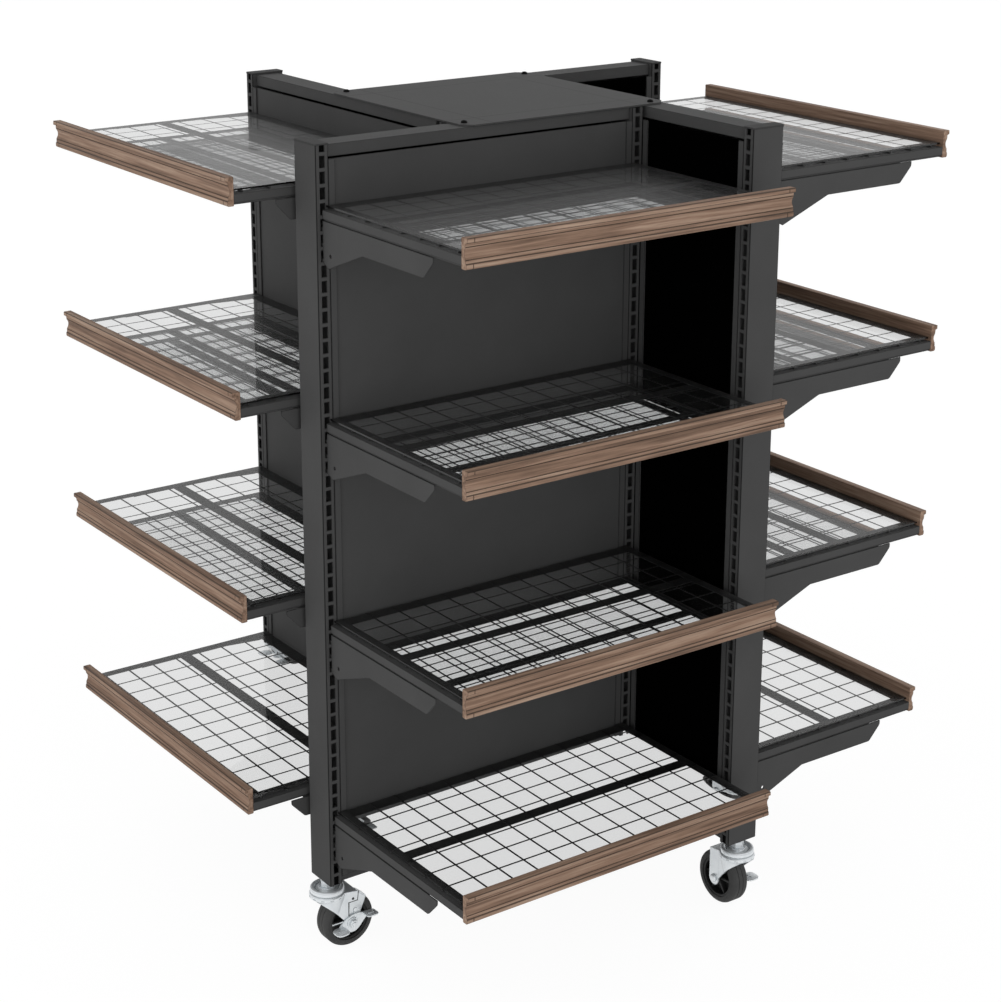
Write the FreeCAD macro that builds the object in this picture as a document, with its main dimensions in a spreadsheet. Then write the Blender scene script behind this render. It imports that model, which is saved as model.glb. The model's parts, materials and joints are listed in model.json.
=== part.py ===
import FreeCAD, Part
import math
import os
from types import SimpleNamespace

import Sketcher

# Four-way display rack: four slotted-upright frames set round a square centre like a pinwheel, each
# with a bay of four shelves on hook-in brackets, standing on four braked swivel casters.
# Millimetres, +Z up, origin on the floor under the centre. The front frame is drawn in place and the
# other three are the same pieces turned by quarter turns about the centre.

SIZES = (
    ("upright_height", 1304.5, "outer upright without its cap"),
    ("upright_width", 24.0, "slotted face of an upright"),
    ("upright_depth", 66.5, "plain face of an upright, the thickness of a frame"),
    ("upright_wall", 2.0, "tube wall"),
    ("upright_corner", 2.5, "rounding of the tube's long edges"),
    ("frame_reach", 508.0, "centre of the rack to the outer end of a frame"),
    ("frame_face", 222.0, "centre of the rack to the shelf side of a frame"),
    ("slot_pitch", 25.4, "spacing of the slots"),
    ("slot_height", 19.0, "slot length up the upright"),
    ("slot_width", 9.5, "slot width"),
    ("slot_first", 26.8, "top of an upright to the middle of its first whole slot"),
    ("slot_margin", 2.0, "least height of a slot's middle above the foot of an upright"),
    ("rail_height", 20.0, "top and bottom rails of a frame"),
    ("rail_play", 0.5, "returned edge of the panel to the rails"),
    ("rail_wall", 1.5, "rail tube wall"),
    ("rail_drop", 1.5, "top of an upright to the top of the top rail"),
    ("panel_gap", 2.0, "shadow gap beside a rail"),
    ("panel_rise", 14.0, "foot of an upright to the lower edge of the panel beside it"),
    ("panel_sheet", 1.2, "folded steel panel"),
    ("panel_fold", 6.0, "returned edge of the panel"),
    ("board_sheet", 3.0, "black board on the inner side of a frame"),
    ("strip_width", 12.0, "cover strip beside an upright"),
    ("strip_depth", 2.5, "cover strip thickness"),
    ("strip_gap", 0.5, "cover strip to the next frame's upright"),
    ("cap_sheet", 2.5, "upright cap"),
    ("cap_lip", 0.8, "cap standing out round the upright"),
    ("plug_depth", 14.0, "cap plug inside the upright"),
    ("foot_depth", 24.0, "threaded foot plug inside the upright"),
    ("plate_inset", 6.0, "top plate set in from the shelf side of the frames"),
    ("plate_sheet", 3.0, "top plate thickness"),
    ("plate_clip", 18.0, "cut-off corner of the top plate"),
    ("screw_inset", 16.0, "edge of the top plate to a plate screw along its frame"),
    ("screw_shank", 5.0, "plate screw diameter"),
    ("screw_length", 8.0, "plate screw below its head"),
    ("screw_head", 11.0, "plate screw head diameter"),
    ("screw_rise", 4.2, "plate screw head height"),
    ("screw_edge", 1.2, "upright edge of the plate screw head"),
    ("hole_play", 0.5, "screw hole larger than the screw"),
    ("spacer_width", 14.0, "round spacer between two joined frames"),
    ("shelf_count", 4, "shelves in a bay"),
    ("shelf_step", 14, "slots from one shelf to the next"),
    ("shelf_top_slot", 4, "whole slots above the top hook of the highest front shelf"),
    ("shelf_lift", 1, "slots that the side bays stand higher than the front and back"),
    ("shelf_start", 10.5, "outer end of a frame to the end of its shelves"),
    ("shelf_end", 13.0, "other end of its shelves to the inner end of a frame"),
    ("shelf_reach", 405.0, "frame face to the front of the fascia"),
    ("shelf_back", 1.0, "frame face to the back of the deck"),
    ("side_rail_width", 23.0, "flat top of a deck side rail"),
    ("side_rail_height", 14.0, "deck side rail face"),
    ("side_foot", 3.5, "recessed foot under a side rail"),
    ("side_foot_inset", 3.0, "foot set in from the side rail's face"),
    ("side_leg", 3.0, "standing leg of a side rail"),
    ("back_bar", 27.0, "flat bar at the back of the deck"),
    ("centre_bar", 24.0, "flat bar along the middle of the deck"),
    ("centre_bar_back", 193.5, "back of the deck to the middle of the centre bar"),
    ("front_bar", 24.0, "flat bar behind the fascia"),
    ("bar_sheet", 4.0, "flat bar thickness"),
    ("wire", 4.0, "deck wire diameter"),
    ("wire_pitch", 50.8, "spacing of the wires both ways"),
    ("cross_first", 47.0, "side rail to the first wire that runs front to back"),
    ("long_first", 64.3, "back of the deck to the first long wire"),
    ("wire_end", 1.0, "long wire end short of the liner's side"),
    ("liner_sheet", 3.0, "clear shelf liner"),
    ("liner_inset", 7.0, "deck's side to the liner's side"),
    ("fascia_height", 48.0, "wooden fascia"),
    ("fascia_depth", 15.0, "wooden fascia, front to back"),
    ("fascia_rise", 21.7, "fascia standing above the liner"),
    ("fascia_end", 13.0, "end block of the fascia"),
    ("bead_height", 7.0, "nosing along the top of the fascia"),
    ("bead_round", 3.0, "rounding of the nosing"),
    ("fillet_inset", 4.5, "flat band of the fascia set in from the nosing"),
    ("fillet_height", 4.5, "flat band above and below the cove"),
    ("quirk", 2.0, "slope between the nosing and the flat bands"),
    ("cove_depth", 3.5, "hollow of the cove below the flat bands"),
    ("foot_height", 7.5, "nosing along the bottom of the fascia"),
    ("foot_inset", 3.0, "bottom nosing set in from the top one"),
    ("bracket_sheet", 2.0, "shelf bracket"),
    ("bracket_setback", 90.0, "front of the fascia to the nose of a bracket"),
    ("bracket_front", 36.0, "bracket at its nose"),
    ("bracket_taper", 118.0, "upright to the end of the bracket's slope"),
    ("bracket_tip", 8.0, "upright end of the bracket's nose"),
    ("bracket_nose", 26.0, "slope of the bracket's nose"),
    ("bracket_round", 8.0, "rounding of the nose"),
    ("bracket_heel", 16.0, "cut-off lower corner at the upright"),
    ("bracket_heel_rise", 8.0, "height of that corner"),
    ("bracket_heel_land", 1.0, "straight edge between that corner and the lowest hook"),
    ("bracket_hole", 6.0, "hole in a bracket"),
    ("bracket_over", 7.0, "middle of the top hook's slot to the bracket's top"),
    ("flange", 18.0, "turned-in top edge that carries the deck"),
    ("hook_count", 3, "hooks on a bracket"),
    ("hook_neck", 6.0, "hook where it passes the slot"),
    ("hook_drop", 6.0, "hook behind the slot"),
    ("hook_sheet", 4.0, "hook thickness behind the slot"),
    ("hook_play", 0.3, "bracket clear of the upright"),
    ("stem", 12.0, "caster stem diameter"),
    ("stem_nut", 22.0, "nut on the caster stem, across its corners"),
    ("stem_flange_sheet", 3.0, "stem plate inside the caster head"),
    ("rivet", 12.0, "rivet of the caster stem through the fork"),
    ("rivet_head", 18.0, "rivet head under the fork"),
    ("rivet_head_height", 3.0, "rivet head thickness"),
    ("fit", 0.05, "running clearance on a radius"),
    ("swivel_gap", 0.4, "clearance between the turning and the fixed parts of a caster"),
    ("wheel", 100.0, "caster wheel diameter"),
    ("wheel_width", 36.0, "caster wheel width"),
    ("wheel_trail", 35.0, "stem axis to the axle"),
    ("wheel_clear", 15.0, "top of the wheel to the fork above it"),
    ("tread", 12.0, "rubber tyre, radial thickness"),
    ("tread_groove", 1.6, "groove round the tyre"),
    ("groove_offset", 4.5, "middle of the tyre to a groove"),
    ("tread_round", 8.0, "rounded shoulder of the tyre"),
    ("tyre_side", 2.0, "hub set in from the tyre's sides"),
    ("hub_boss", 20.0, "hub round the axle"),
    ("hub_rim", 5.0, "hub rim thickness"),
    ("hub_web", 8.0, "hub web thickness"),
    ("hub_hole", 11.0, "opening between two spokes of the hub"),
    ("hub_holes", 6, "openings round the hub"),
    ("axle", 8.0, "caster axle diameter"),
    ("axle_head", 15.0, "axle head and nut, across"),
    ("axle_head_height", 5.0, "axle head and nut thickness"),
    ("fork_sheet", 2.5, "caster fork steel"),
    ("fork_gap", 3.5, "wheel to the inside of a fork leg"),
    ("fork_round", 13.0, "rounded lower end of a fork leg"),
    ("fork_back", 26.0, "axle to the back of the fork"),
    ("fork_back_low", 26.0, "top of the head to the lower end of the fork's back"),
    ("fork_back_high", 19.5, "top of the head to the upper end of the fork's back"),
    ("head_rim", 6.0, "round head of the fork standing out beyond the legs"),
    ("head_height", 12.0, "height of the head"),
    ("head_drop", 15.0, "upright to the top of the caster head"),
    ("dish_depth", 5.0, "dish in the top of the head"),
    ("dish_rim", 7.6, "rim of the head round the dish"),
    ("brake_sheet", 2.5, "brake lever steel"),
    ("brake_tab", 19.0, "raised pedal tab standing out from the lever"),
    ("brake_tread", 29.0, "lower pedal tab standing out from the lever"),
    ("brake_tab_length", 22.0, "brake pedal tab along the lever"),
    ("brake_arm", 24.0, "axle to the start of a pedal tab"),
    ("brake_hub", 14.0, "lever round the axle, radius"),
)

QUARTERS = (("front", 0), ("right", 1), ("back", 2), ("left", 3))

# Ends of the fork leg's arc, as shares of its radius across and below the axle
END_RUN, END_DROP = 0.8, 0.6

doc = FreeCAD.newDocument("display_rack")
sheet = doc.addObject("Spreadsheet::Sheet", "sizes")
for row, (alias, value, note) in enumerate(SIZES, 1):
    sheet.set("A%d" % row, note)
    sheet.set("B%d" % row, str(value))
    sheet.setAlias("B%d" % row, alias)
doc.recompute()


class Dim:
    """A size together with its formula, so that each formula is written once."""

    def __init__(self, text, value):
        self.text = text
        self.value = value

    def __add__(self, other):
        other = dim(other)
        return Dim("(%s + %s)" % (self.text, other.text), self.value + other.value)

    def __sub__(self, other):
        other = dim(other)
        return Dim("(%s - %s)" % (self.text, other.text), self.value - other.value)

    def __mul__(self, other):
        other = dim(other)
        return Dim("(%s * %s)" % (self.text, other.text), self.value * other.value)

    def __truediv__(self, other):
        other = dim(other)
        return Dim("(%s / %s)" % (self.text, other.text), self.value / other.value)

    def __radd__(self, other):
        return dim(other) + self

    def __rsub__(self, other):
        return dim(other) - self

    def __rmul__(self, other):
        return dim(other) * self

    def __neg__(self):
        return dim(0) - self


def dim(value):
    return value if isinstance(value, Dim) else Dim("%r" % value, value)


def whole(size):
    """The whole number below a size."""
    return Dim("floor(%s)" % size.text, math.floor(size.value))


def root(size):
    return Dim("sqrt(%s)" % size.text, math.sqrt(size.value))


s = SimpleNamespace(**{alias: Dim("sizes." + alias, float(sheet.get(alias))) for alias, _, _ in SIZES})

# Places that several pieces share, in the front frame
frame_left = -s.frame_reach
frame_right = s.frame_face - s.upright_depth
frame_front = -s.frame_face
frame_back = frame_front + s.upright_depth
frame_middle = frame_front + s.upright_depth / 2
inner_left = frame_right - s.upright_width
clear_left = frame_left + s.upright_width
caster_height = s.wheel + s.wheel_clear + s.fork_sheet + s.dish_depth + s.head_drop
upright_top = caster_height + s.upright_height
rail_top = upright_top - s.rail_drop
panel_low = caster_height + s.panel_rise
panel_high = rail_top - s.rail_height - s.panel_gap
plate_top = rail_top + s.plate_sheet
plate_half = s.frame_face - s.plate_inset
screw_x = s.screw_inset - plate_half
rail_inset = s.strip_depth + s.panel_fold + s.rail_play
caster_x = frame_left + s.upright_width / 2
slot_count = whole((s.upright_height - s.slot_first - s.slot_margin) / s.slot_pitch) + 2

# Levels of the lowest front shelf, from the slot that takes its brackets' top hooks upwards
lowest_slot = s.shelf_top_slot + s.shelf_step * (s.shelf_count - 1)
hook_level = upright_top - s.slot_first - s.slot_pitch * lowest_slot
bracket_top = hook_level + s.bracket_over
deck_top = bracket_top + s.side_foot + s.side_rail_height
liner_low = deck_top + s.wire
liner_top = liner_low + s.liner_sheet
fascia_top = liner_top + s.fascia_rise
shelf_left = frame_left + s.shelf_start
shelf_right = frame_right - s.shelf_end
liner_left = shelf_left + s.liner_inset
liner_right = shelf_right - s.liner_inset
shelf_rear = frame_front - s.shelf_back
shelf_front = frame_front - s.shelf_reach
fascia_rear = shelf_front + s.fascia_depth
axle_level = s.wheel / 2
head_top = caster_height - s.head_drop
fork_ceiling = head_top - s.dish_depth - s.fork_sheet
leg_inside = s.wheel_width / 2 + s.fork_gap
leg_outside = leg_inside + s.fork_sheet
head_radius = leg_outside + s.head_rim
dish_radius = head_radius - s.dish_rim


def bind(item, prop, size):
    item.setExpression(prop, dim(size).text)


def place(item, x, y, z):
    for axis, size in zip("xyz", (x, y, z)):
        bind(item, "Placement.Base." + axis, size)


def origin_item(body, role):
    return next(item for item in body.Origin.OriginFeatures if item.Role == role)


def rectangle(x0, y0, x1, y1):
    return [(x0, y0), (x1, y0), (x1, y1), (x0, y1)]


def rounded(x0, y0, x1, y1, r):
    return [(x0 + r, y0), (x1 - r, y0, r), (x1, y0 + r), (x1, y1 - r, r),
            (x1 - r, y1), (x0 + r, y1, r), (x0, y1 - r), (x0, y0 + r, r)]


def clipped(x0, y0, x1, y1, c):
    return [(x0 + c, y0), (x1 - c, y0), (x1, y0 + c), (x1, y1 - c),
            (x1 - c, y1), (x0 + c, y1), (x0, y1 - c), (x0, y0 + c)]


def arc_between(start, end, radius):
    """Arc from start to end: a positive radius swells out of an anticlockwise outline."""
    chord = end - start
    left = FreeCAD.Vector(-chord.y, chord.x, 0).normalize()
    rise = math.sqrt(max(radius ** 2 - chord.Length ** 2 / 4, 0.0))
    centre = (start + end) / 2 + left * math.copysign(rise, radius)
    first, last = (start, end) if radius > 0 else (end, start)
    angles = [math.atan2(p.y - centre.y, p.x - centre.x) for p in (first, last)]
    circle = Part.Circle(centre, FreeCAD.Vector(0, 0, 1), abs(radius))
    return Part.ArcOfCircle(circle, *angles)


def add_circle(sketch, tag, x, y, radius):
    circle = Part.Circle(FreeCAD.Vector(x.value, y.value, 0), FreeCAD.Vector(0, 0, 1), radius.value)
    edge = sketch.addGeometry(circle, False)
    fix_point(sketch, tag, edge, 3, x, y)
    tie(sketch, tag + "r", Sketcher.Constraint("Radius", edge, radius.value), radius)


def tie(sketch, name, constraint, size):
    index = sketch.addConstraint(constraint)
    sketch.renameConstraint(index, name)
    sketch.setExpression("Constraints." + name, size.text)


def fix_point(sketch, tag, edge, end, x, y):
    for letter, kind, axis, size in (("x", "DistanceX", -2, x), ("y", "DistanceY", -1, y)):
        if size.text == "0":
            sketch.addConstraint(Sketcher.Constraint("PointOnObject", edge, end, axis))
        else:
            constraint = Sketcher.Constraint(kind, -1, 1, edge, end, size.value)
            tie(sketch, tag + letter, constraint, size)


def add_outline(sketch, tag, corners):
    """Closed outline. A corner's third value is the radius of the arc to the next corner."""
    corners = [tuple(dim(size) for size in corner) for corner in corners]
    points = [FreeCAD.Vector(corner[0].value, corner[1].value, 0) for corner in corners]
    sides = []
    for i, corner in enumerate(corners):
        start, end = points[i], points[(i + 1) % len(points)]
        if len(corner) == 3:
            shape, turned = arc_between(start, end, corner[2].value), corner[2].value < 0
        else:
            shape, turned = Part.LineSegment(start, end), False
        sides.append((sketch.addGeometry(shape, False), 2 if turned else 1, 1 if turned else 2))
    for i, (edge, first, last) in enumerate(sides):
        follower, entry, _ = sides[(i + 1) % len(sides)]
        sketch.addConstraint(Sketcher.Constraint("Coincident", edge, last, follower, entry))
        fix_point(sketch, "%s%d" % (tag, i), edge, first, corners[i][0], corners[i][1])
        if len(corners[i]) == 3:
            radius = corners[i][2] if corners[i][2].value > 0 else -corners[i][2]
            constraint = Sketcher.Constraint("Radius", edge, radius.value)
            tie(sketch, "%s%dr" % (tag, i), constraint, radius)


def draw(body, plane, lift, outlines=(), circles=()):
    """Sketch on one of the body's own planes, lifted along the plane's normal."""
    sketch = body.newObject("Sketcher::SketchObject", body.Name + "_sketch")
    sketch.AttachmentSupport = (origin_item(body, plane), [""])
    sketch.MapMode = "FlatFace"
    bind(sketch, "AttachmentOffset.Base.z", lift)
    for i, corners in enumerate(outlines):
        add_outline(sketch, "o%dp" % i, corners)
    for i, (x, y, radius) in enumerate(circles):
        add_circle(sketch, "c%d" % i, dim(x), dim(y), dim(radius))
    return sketch


def feature(body, kind, sketch):
    item = body.newObject("PartDesign::" + kind, "%s_%s" % (body.Name, kind.lower()))
    item.Profile = sketch
    return item


def pad(body, sketch, length, both_ways=False, reverse=False):
    item = feature(body, "Pad", sketch)
    item.Midplane = both_ways
    item.Reversed = reverse
    bind(item, "Length", length)
    return item


def pocket(body, sketch, depth=None, both_ways=False):
    """Cut against the sketch's normal, or right through without a depth."""
    item = feature(body, "Pocket", sketch)
    item.Midplane = both_ways
    if depth is None:
        item.Type = "ThroughAll"
    else:
        bind(item, "Length", depth)
    return item


def revolve(body, sketch):
    item = feature(body, "Revolution", sketch)
    item.ReferenceAxis = (sketch, ["V_Axis"])
    item.Angle = 360
    return item


def new_body(name):
    return doc.addObject("PartDesign::Body", name)


def block(name, low, high):
    box = doc.addObject("Part::Box", name)
    for prop, first, last in zip(("Length", "Width", "Height"), low, high):
        bind(box, prop, last - first)
    place(box, *low)
    return box


def rod(name, radius, length, start, axis):
    """Round bar from a point along one axis."""
    bar = doc.addObject("Part::Cylinder", name)
    bind(bar, "Radius", radius)
    bind(bar, "Height", length)
    turns = {"x": FreeCAD.Rotation(FreeCAD.Vector(0, 1, 0), 90),
             "y": FreeCAD.Rotation(FreeCAD.Vector(1, 0, 0), -90),
             "z": FreeCAD.Rotation()}
    bar.Placement = FreeCAD.Placement(FreeCAD.Vector(), turns[axis])
    place(bar, *start)
    return bar


# Frame pieces
def make_upright(name, left, height):
    body = new_body(name)
    right = left + s.upright_width
    middle = left + s.upright_width / 2
    wall = s.upright_wall
    tube = draw(body, "XY_Plane", caster_height, [
        rounded(left, frame_front, right, frame_back, s.upright_corner),
        rectangle(left + wall, frame_front + wall, right - wall, frame_back - wall)])
    pad(body, tube, height)
    top_slot = upright_top - s.slot_first + s.slot_pitch
    slot = draw(body, "XZ_Plane", -frame_middle, [rectangle(
        middle - s.slot_width / 2, top_slot - s.slot_height / 2,
        middle + s.slot_width / 2, top_slot + s.slot_height / 2)])
    cut = pocket(body, slot, both_ways=True)
    slots = body.newObject("PartDesign::LinearPattern", name + "_slots")
    slots.Originals = [cut]
    slots.Direction = (origin_item(body, "Z_Axis"), [""])
    slots.Reversed = True
    bind(slots, "Length", (slot_count - 1) * s.slot_pitch)
    bind(slots, "Occurrences", slot_count)
    body.Tip = slots
    return body


def make_rail(name, low, screw_hole):
    body = new_body(name)
    front = frame_front + rail_inset
    back = frame_back - rail_inset
    wall = s.rail_wall
    high = low + s.rail_height
    tube = draw(body, "YZ_Plane", clear_left, [
        rectangle(front, low, back, high),
        rectangle(front + wall, low + wall, back - wall, high - wall)])
    pad(body, tube, inner_left - clear_left)
    if screw_hole:
        hole = draw(body, "XY_Plane", high, circles=[
            (screw_x, frame_middle, (s.screw_shank + s.hole_play) / 2)])
        pocket(body, hole, wall * 2)
    return body


def make_panel():
    body = new_body("panel_piece")
    front = frame_front + s.strip_depth
    inside = front + s.panel_sheet
    fold = front + s.panel_fold
    section = draw(body, "XY_Plane", panel_low, [[
        (clear_left, front), (inner_left, front), (inner_left, fold),
        (inner_left - s.panel_sheet, fold), (inner_left - s.panel_sheet, inside),
        (clear_left + s.panel_sheet, inside), (clear_left + s.panel_sheet, fold), (clear_left, fold)]])
    pad(body, section, panel_high - panel_low)
    return body


def make_strips():
    """Cover strips beside the uprights on both sides of a frame, and beside the frame that meets it."""
    shelf_side = (frame_front, frame_front + s.strip_depth)
    inner_side = (frame_back - s.strip_depth, frame_back)
    meeting = frame_front - s.strip_gap
    spots = ((clear_left, shelf_side), (inner_left - s.strip_width, shelf_side),
             (clear_left, inner_side), (meeting - s.strip_width, inner_side))
    return [block("strip_piece", (x, y0, panel_low), (x + s.strip_width, y1, panel_high))
            for x, (y0, y1) in spots]


def make_board():
    """Board between the top and bottom rails, behind the cover strips of the inner side."""
    back = frame_back - s.strip_depth
    front = back - s.board_sheet
    low = caster_height + s.rail_height + s.panel_gap
    return block("board_piece", (clear_left, front, low), (inner_left, back, panel_high))


def make_cap():
    body = new_body("cap_piece")
    lip, wall = s.cap_lip, s.upright_wall
    right = frame_left + s.upright_width
    cover = draw(body, "XY_Plane", upright_top, [rounded(
        frame_left - lip, frame_front - lip, right + lip, frame_back + lip, s.upright_corner + lip)])
    pad(body, cover, s.cap_sheet)
    plug = draw(body, "XY_Plane", upright_top, [rectangle(
        frame_left + wall, frame_front + wall, right - wall, frame_back - wall)])
    pad(body, plug, s.plug_depth, reverse=True)
    return body


def make_foot_plug():
    body = new_body("foot_plug_piece")
    wall = s.upright_wall
    section = draw(body, "XY_Plane", caster_height, [rectangle(
        frame_left + wall, frame_front + wall, clear_left - wall, frame_back - wall)],
        [(caster_x, frame_middle, s.stem / 2 + s.fit)])
    pad(body, section, s.foot_depth)
    return body


def turned_xy(x, y, quarter):
    """A place in the front frame carried round the centre by quarter turns."""
    for _ in range(quarter):
        x, y = -y, x
    return x, y


def make_plate():
    body = new_body("plate_piece")
    half, holes = plate_half, []
    for _, quarter in QUARTERS:
        x, y = turned_xy(screw_x, frame_middle, quarter)
        holes.append((x, y, (s.screw_shank + s.hole_play) / 2))
    section = draw(body, "XY_Plane", rail_top, [clipped(-half, -half, half, half, s.plate_clip)], holes)
    pad(body, section, s.plate_sheet)
    return body


def make_screw():
    """Button-head screw with its head's underside at the origin."""
    body = new_body("screw_piece")
    crown = s.screw_rise - s.screw_edge
    dome = (s.screw_head * s.screw_head / 4 + crown * crown) / (2 * crown)
    profile = draw(body, "XZ_Plane", 0, [[
        (0, -s.screw_length), (s.screw_shank / 2, -s.screw_length), (s.screw_shank / 2, 0),
        (s.screw_head / 2, 0), (s.screw_head / 2, s.screw_edge, dome), (0, s.screw_rise)]])
    revolve(body, profile)
    return body


def make_spacers():
    levels = (caster_height + s.rail_height / 2, rail_top - s.rail_height / 2)
    return [rod("spacer_piece", s.spacer_width / 2, rail_inset, (frame_right, frame_middle, level), "x")
            for level in levels]


# Shelf pieces, at the lowest front shelf
def make_side_rail(name, outer, inward):
    """Pressed rail: flat top, standing leg and a foot set in from the leg's face."""
    body = new_body(name)
    inner = outer + s.side_rail_width * inward
    foot = outer + s.side_foot_inset * inward
    leg = foot + s.side_leg * inward
    step = bracket_top + s.side_foot
    under = deck_top - s.bar_sheet
    corners = [(foot, bracket_top), (leg, bracket_top), (leg, under), (inner, under),
               (inner, deck_top), (outer, deck_top), (outer, step), (foot, step)]
    section = draw(body, "XZ_Plane", -shelf_rear, [corners if inward > 0 else corners[::-1]])
    pad(body, section, shelf_rear - fascia_rear)
    return body


def make_bars():
    """Flat bars under the side rails' tops, from leg to leg."""
    high = deck_top - s.bar_sheet
    low = high - s.bar_sheet
    left = shelf_left + s.side_foot_inset + s.side_leg
    right = shelf_right - s.side_foot_inset - s.side_leg
    middle = shelf_rear - s.centre_bar_back
    spans = (("back_bar_piece", shelf_rear - s.back_bar, shelf_rear),
             ("centre_bar_piece", middle - s.centre_bar / 2, middle + s.centre_bar / 2),
             ("front_bar_piece", fascia_rear, fascia_rear + s.front_bar))
    return [block(name, (left, y0, low), (right, y1, high)) for name, y0, y1 in spans]


def make_wires():
    """Front-to-back wires lie on the flat bars, and long wires lie across them on the side rails."""
    wires = []
    first = shelf_left + s.side_rail_width + s.cross_first
    room = shelf_right - s.side_rail_width - s.wire - first
    for i in range(1 + int(room.value // s.wire_pitch.value)):
        start = (first + i * s.wire_pitch, fascia_rear, deck_top - s.bar_sheet + s.wire / 2)
        wires.append(rod("cross_wire", s.wire / 2, shelf_rear - fascia_rear, start, "y"))
    first = shelf_rear - s.long_first
    room = first - s.wire - fascia_rear
    length = liner_right - liner_left - 2 * s.wire_end
    for i in range(1 + int(room.value // s.wire_pitch.value)):
        start = (liner_left + s.wire_end, first - i * s.wire_pitch, deck_top + s.wire / 2)
        wires.append(rod("long_wire", s.wire / 2, length, start, "x"))
    return wires


def make_liner():
    low = (liner_left, fascia_rear, liner_low)
    return block("liner_piece", low, (liner_right, shelf_rear, liner_top))


def fascia_outline():
    """Section of the moulding: nosing, flat band, cove, flat band and bottom nosing."""
    front, low = shelf_front, fascia_top - s.fascia_height
    band = front + s.fillet_inset
    foot = front + s.foot_inset
    nose_low = fascia_top - s.bead_height
    band_top = nose_low - s.quirk
    cove_top = band_top - s.fillet_height
    foot_top = low + s.foot_height
    band_low = foot_top + s.quirk
    cove_low = band_low + s.fillet_height
    chord = cove_top - cove_low
    hollow = (chord * chord / 4 + s.cove_depth * s.cove_depth) / (2 * s.cove_depth)
    return [(fascia_rear, low), (fascia_rear, fascia_top),
            (front + s.bead_round, fascia_top, s.bead_round), (front, fascia_top - s.bead_round),
            (front, nose_low), (band, band_top), (band, cove_top, -hollow), (band, cove_low),
            (band, band_low), (foot, foot_top), (foot, low + s.bead_round, s.bead_round),
            (foot + s.bead_round, low)]


def make_fascia():
    """Moulding and its two end blocks, which carry the same section to the shelf's ends."""
    pieces = []
    length = shelf_right - shelf_left - 2 * s.fascia_end
    runs = (("fascia_piece", shelf_left + s.fascia_end, length),
            ("fascia_left_end", shelf_left, s.fascia_end),
            ("fascia_right_end", shelf_right - s.fascia_end, s.fascia_end))
    for name, start, run in runs:
        body = new_body(name)
        pad(body, draw(body, "YZ_Plane", start, [fascia_outline()]), run)
        pieces.append(body)
    return pieces


def hook_outline(seat, back):
    """Steps of one hook, going up the bracket's back edge: its neck sits on the slot's lower edge."""
    inside = frame_front + s.upright_wall + s.hook_play
    tip = inside + s.hook_sheet
    return [(back, seat), (inside, seat), (inside, seat - s.hook_drop),
            (tip, seat - s.hook_drop), (tip, seat + s.hook_neck), (back, seat + s.hook_neck)]


def nose_outline(nose, belly):
    """Upright tip and slope of the bracket's nose, with both corners rounded."""
    across = s.bracket_nose
    down = s.bracket_front - s.bracket_tip
    slope = root(across * across + down * down)
    upper = s.bracket_round * (slope - down) / across
    lower = s.bracket_round * (slope - across) / down
    corner = bracket_top - s.bracket_tip
    return [(nose, bracket_top), (nose, corner + upper, s.bracket_round),
            (nose + across * upper / slope, corner - down * upper / slope),
            (nose + across - across * lower / slope, belly + down * lower / slope, s.bracket_round),
            (nose + across + lower, belly)]


def make_bracket(name, slot_x, inward):
    body = new_body(name)
    back = frame_front - s.hook_play
    nose = shelf_front + s.bracket_setback
    belly = bracket_top - s.bracket_front
    seats = [hook_level - s.slot_height / 2 - i * s.slot_pitch for i in range(int(s.hook_count.value))]
    heel = seats[-1] - s.bracket_heel_land
    bottom = heel - s.bracket_heel_rise
    corners = nose_outline(nose, belly)
    corners += [(frame_front - s.bracket_taper, belly), (back - s.bracket_heel, bottom), (back, heel)]
    for seat in reversed(seats):
        corners += hook_outline(seat, back)
    corners.append((back, bracket_top))
    hole_y = back - s.bracket_heel - s.bracket_hole
    hole_z = bottom + s.bracket_heel + s.bracket_hole
    plate = draw(body, "YZ_Plane", slot_x - s.bracket_sheet / 2, [corners],
                 [(hole_y, hole_z, s.bracket_hole / 2)])
    pad(body, plate, s.bracket_sheet)
    edges = (slot_x, slot_x + s.flange * inward)
    left, right = edges if inward > 0 else edges[::-1]
    shelf = draw(body, "XY_Plane", bracket_top, [rectangle(
        left, nose + s.bracket_nose, right, frame_front - s.shelf_back)])
    pad(body, shelf, s.bracket_sheet, reverse=True)
    return body


# Caster pieces, with the stem on the Z axis and the wheel trailing along +X
def make_stem():
    """Threaded stem, its nut, the plate in the head's dish and the rivet below, as one turned piece."""
    body = new_body("stem_piece")
    dish = head_top - s.dish_depth + s.swivel_gap
    flange = dish_radius - s.swivel_gap
    flange_top = dish + s.stem_flange_sheet
    rivet_top = fork_ceiling - s.swivel_gap
    rivet_low = rivet_top - s.rivet_head_height
    top = caster_height + s.foot_depth
    profile = draw(body, "XZ_Plane", 0, [[
        (0, rivet_low), (s.rivet_head / 2, rivet_low), (s.rivet_head / 2, rivet_top),
        (s.rivet / 2, rivet_top), (s.rivet / 2, dish), (flange, dish),
        (flange, flange_top), (s.stem_nut / 2, flange_top), (s.stem_nut / 2, caster_height),
        (s.stem / 2, caster_height), (s.stem / 2, top), (0, top)]])
    revolve(body, profile)
    return body


def fork_outline():
    """Side of the fork: under the head, down to the rounded end at the axle and up the back."""
    back = s.wheel_trail + s.fork_back
    end_half = s.fork_round * END_RUN
    end_low = axle_level - s.fork_round * END_DROP
    return [(-head_radius, head_top), (-head_radius, head_top - s.head_height),
            (s.wheel_trail - end_half, end_low, s.fork_round), (s.wheel_trail + end_half, end_low),
            (back, head_top - s.fork_back_low), (back, head_top - s.fork_back_high),
            (s.wheel_trail, head_top)]


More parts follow.
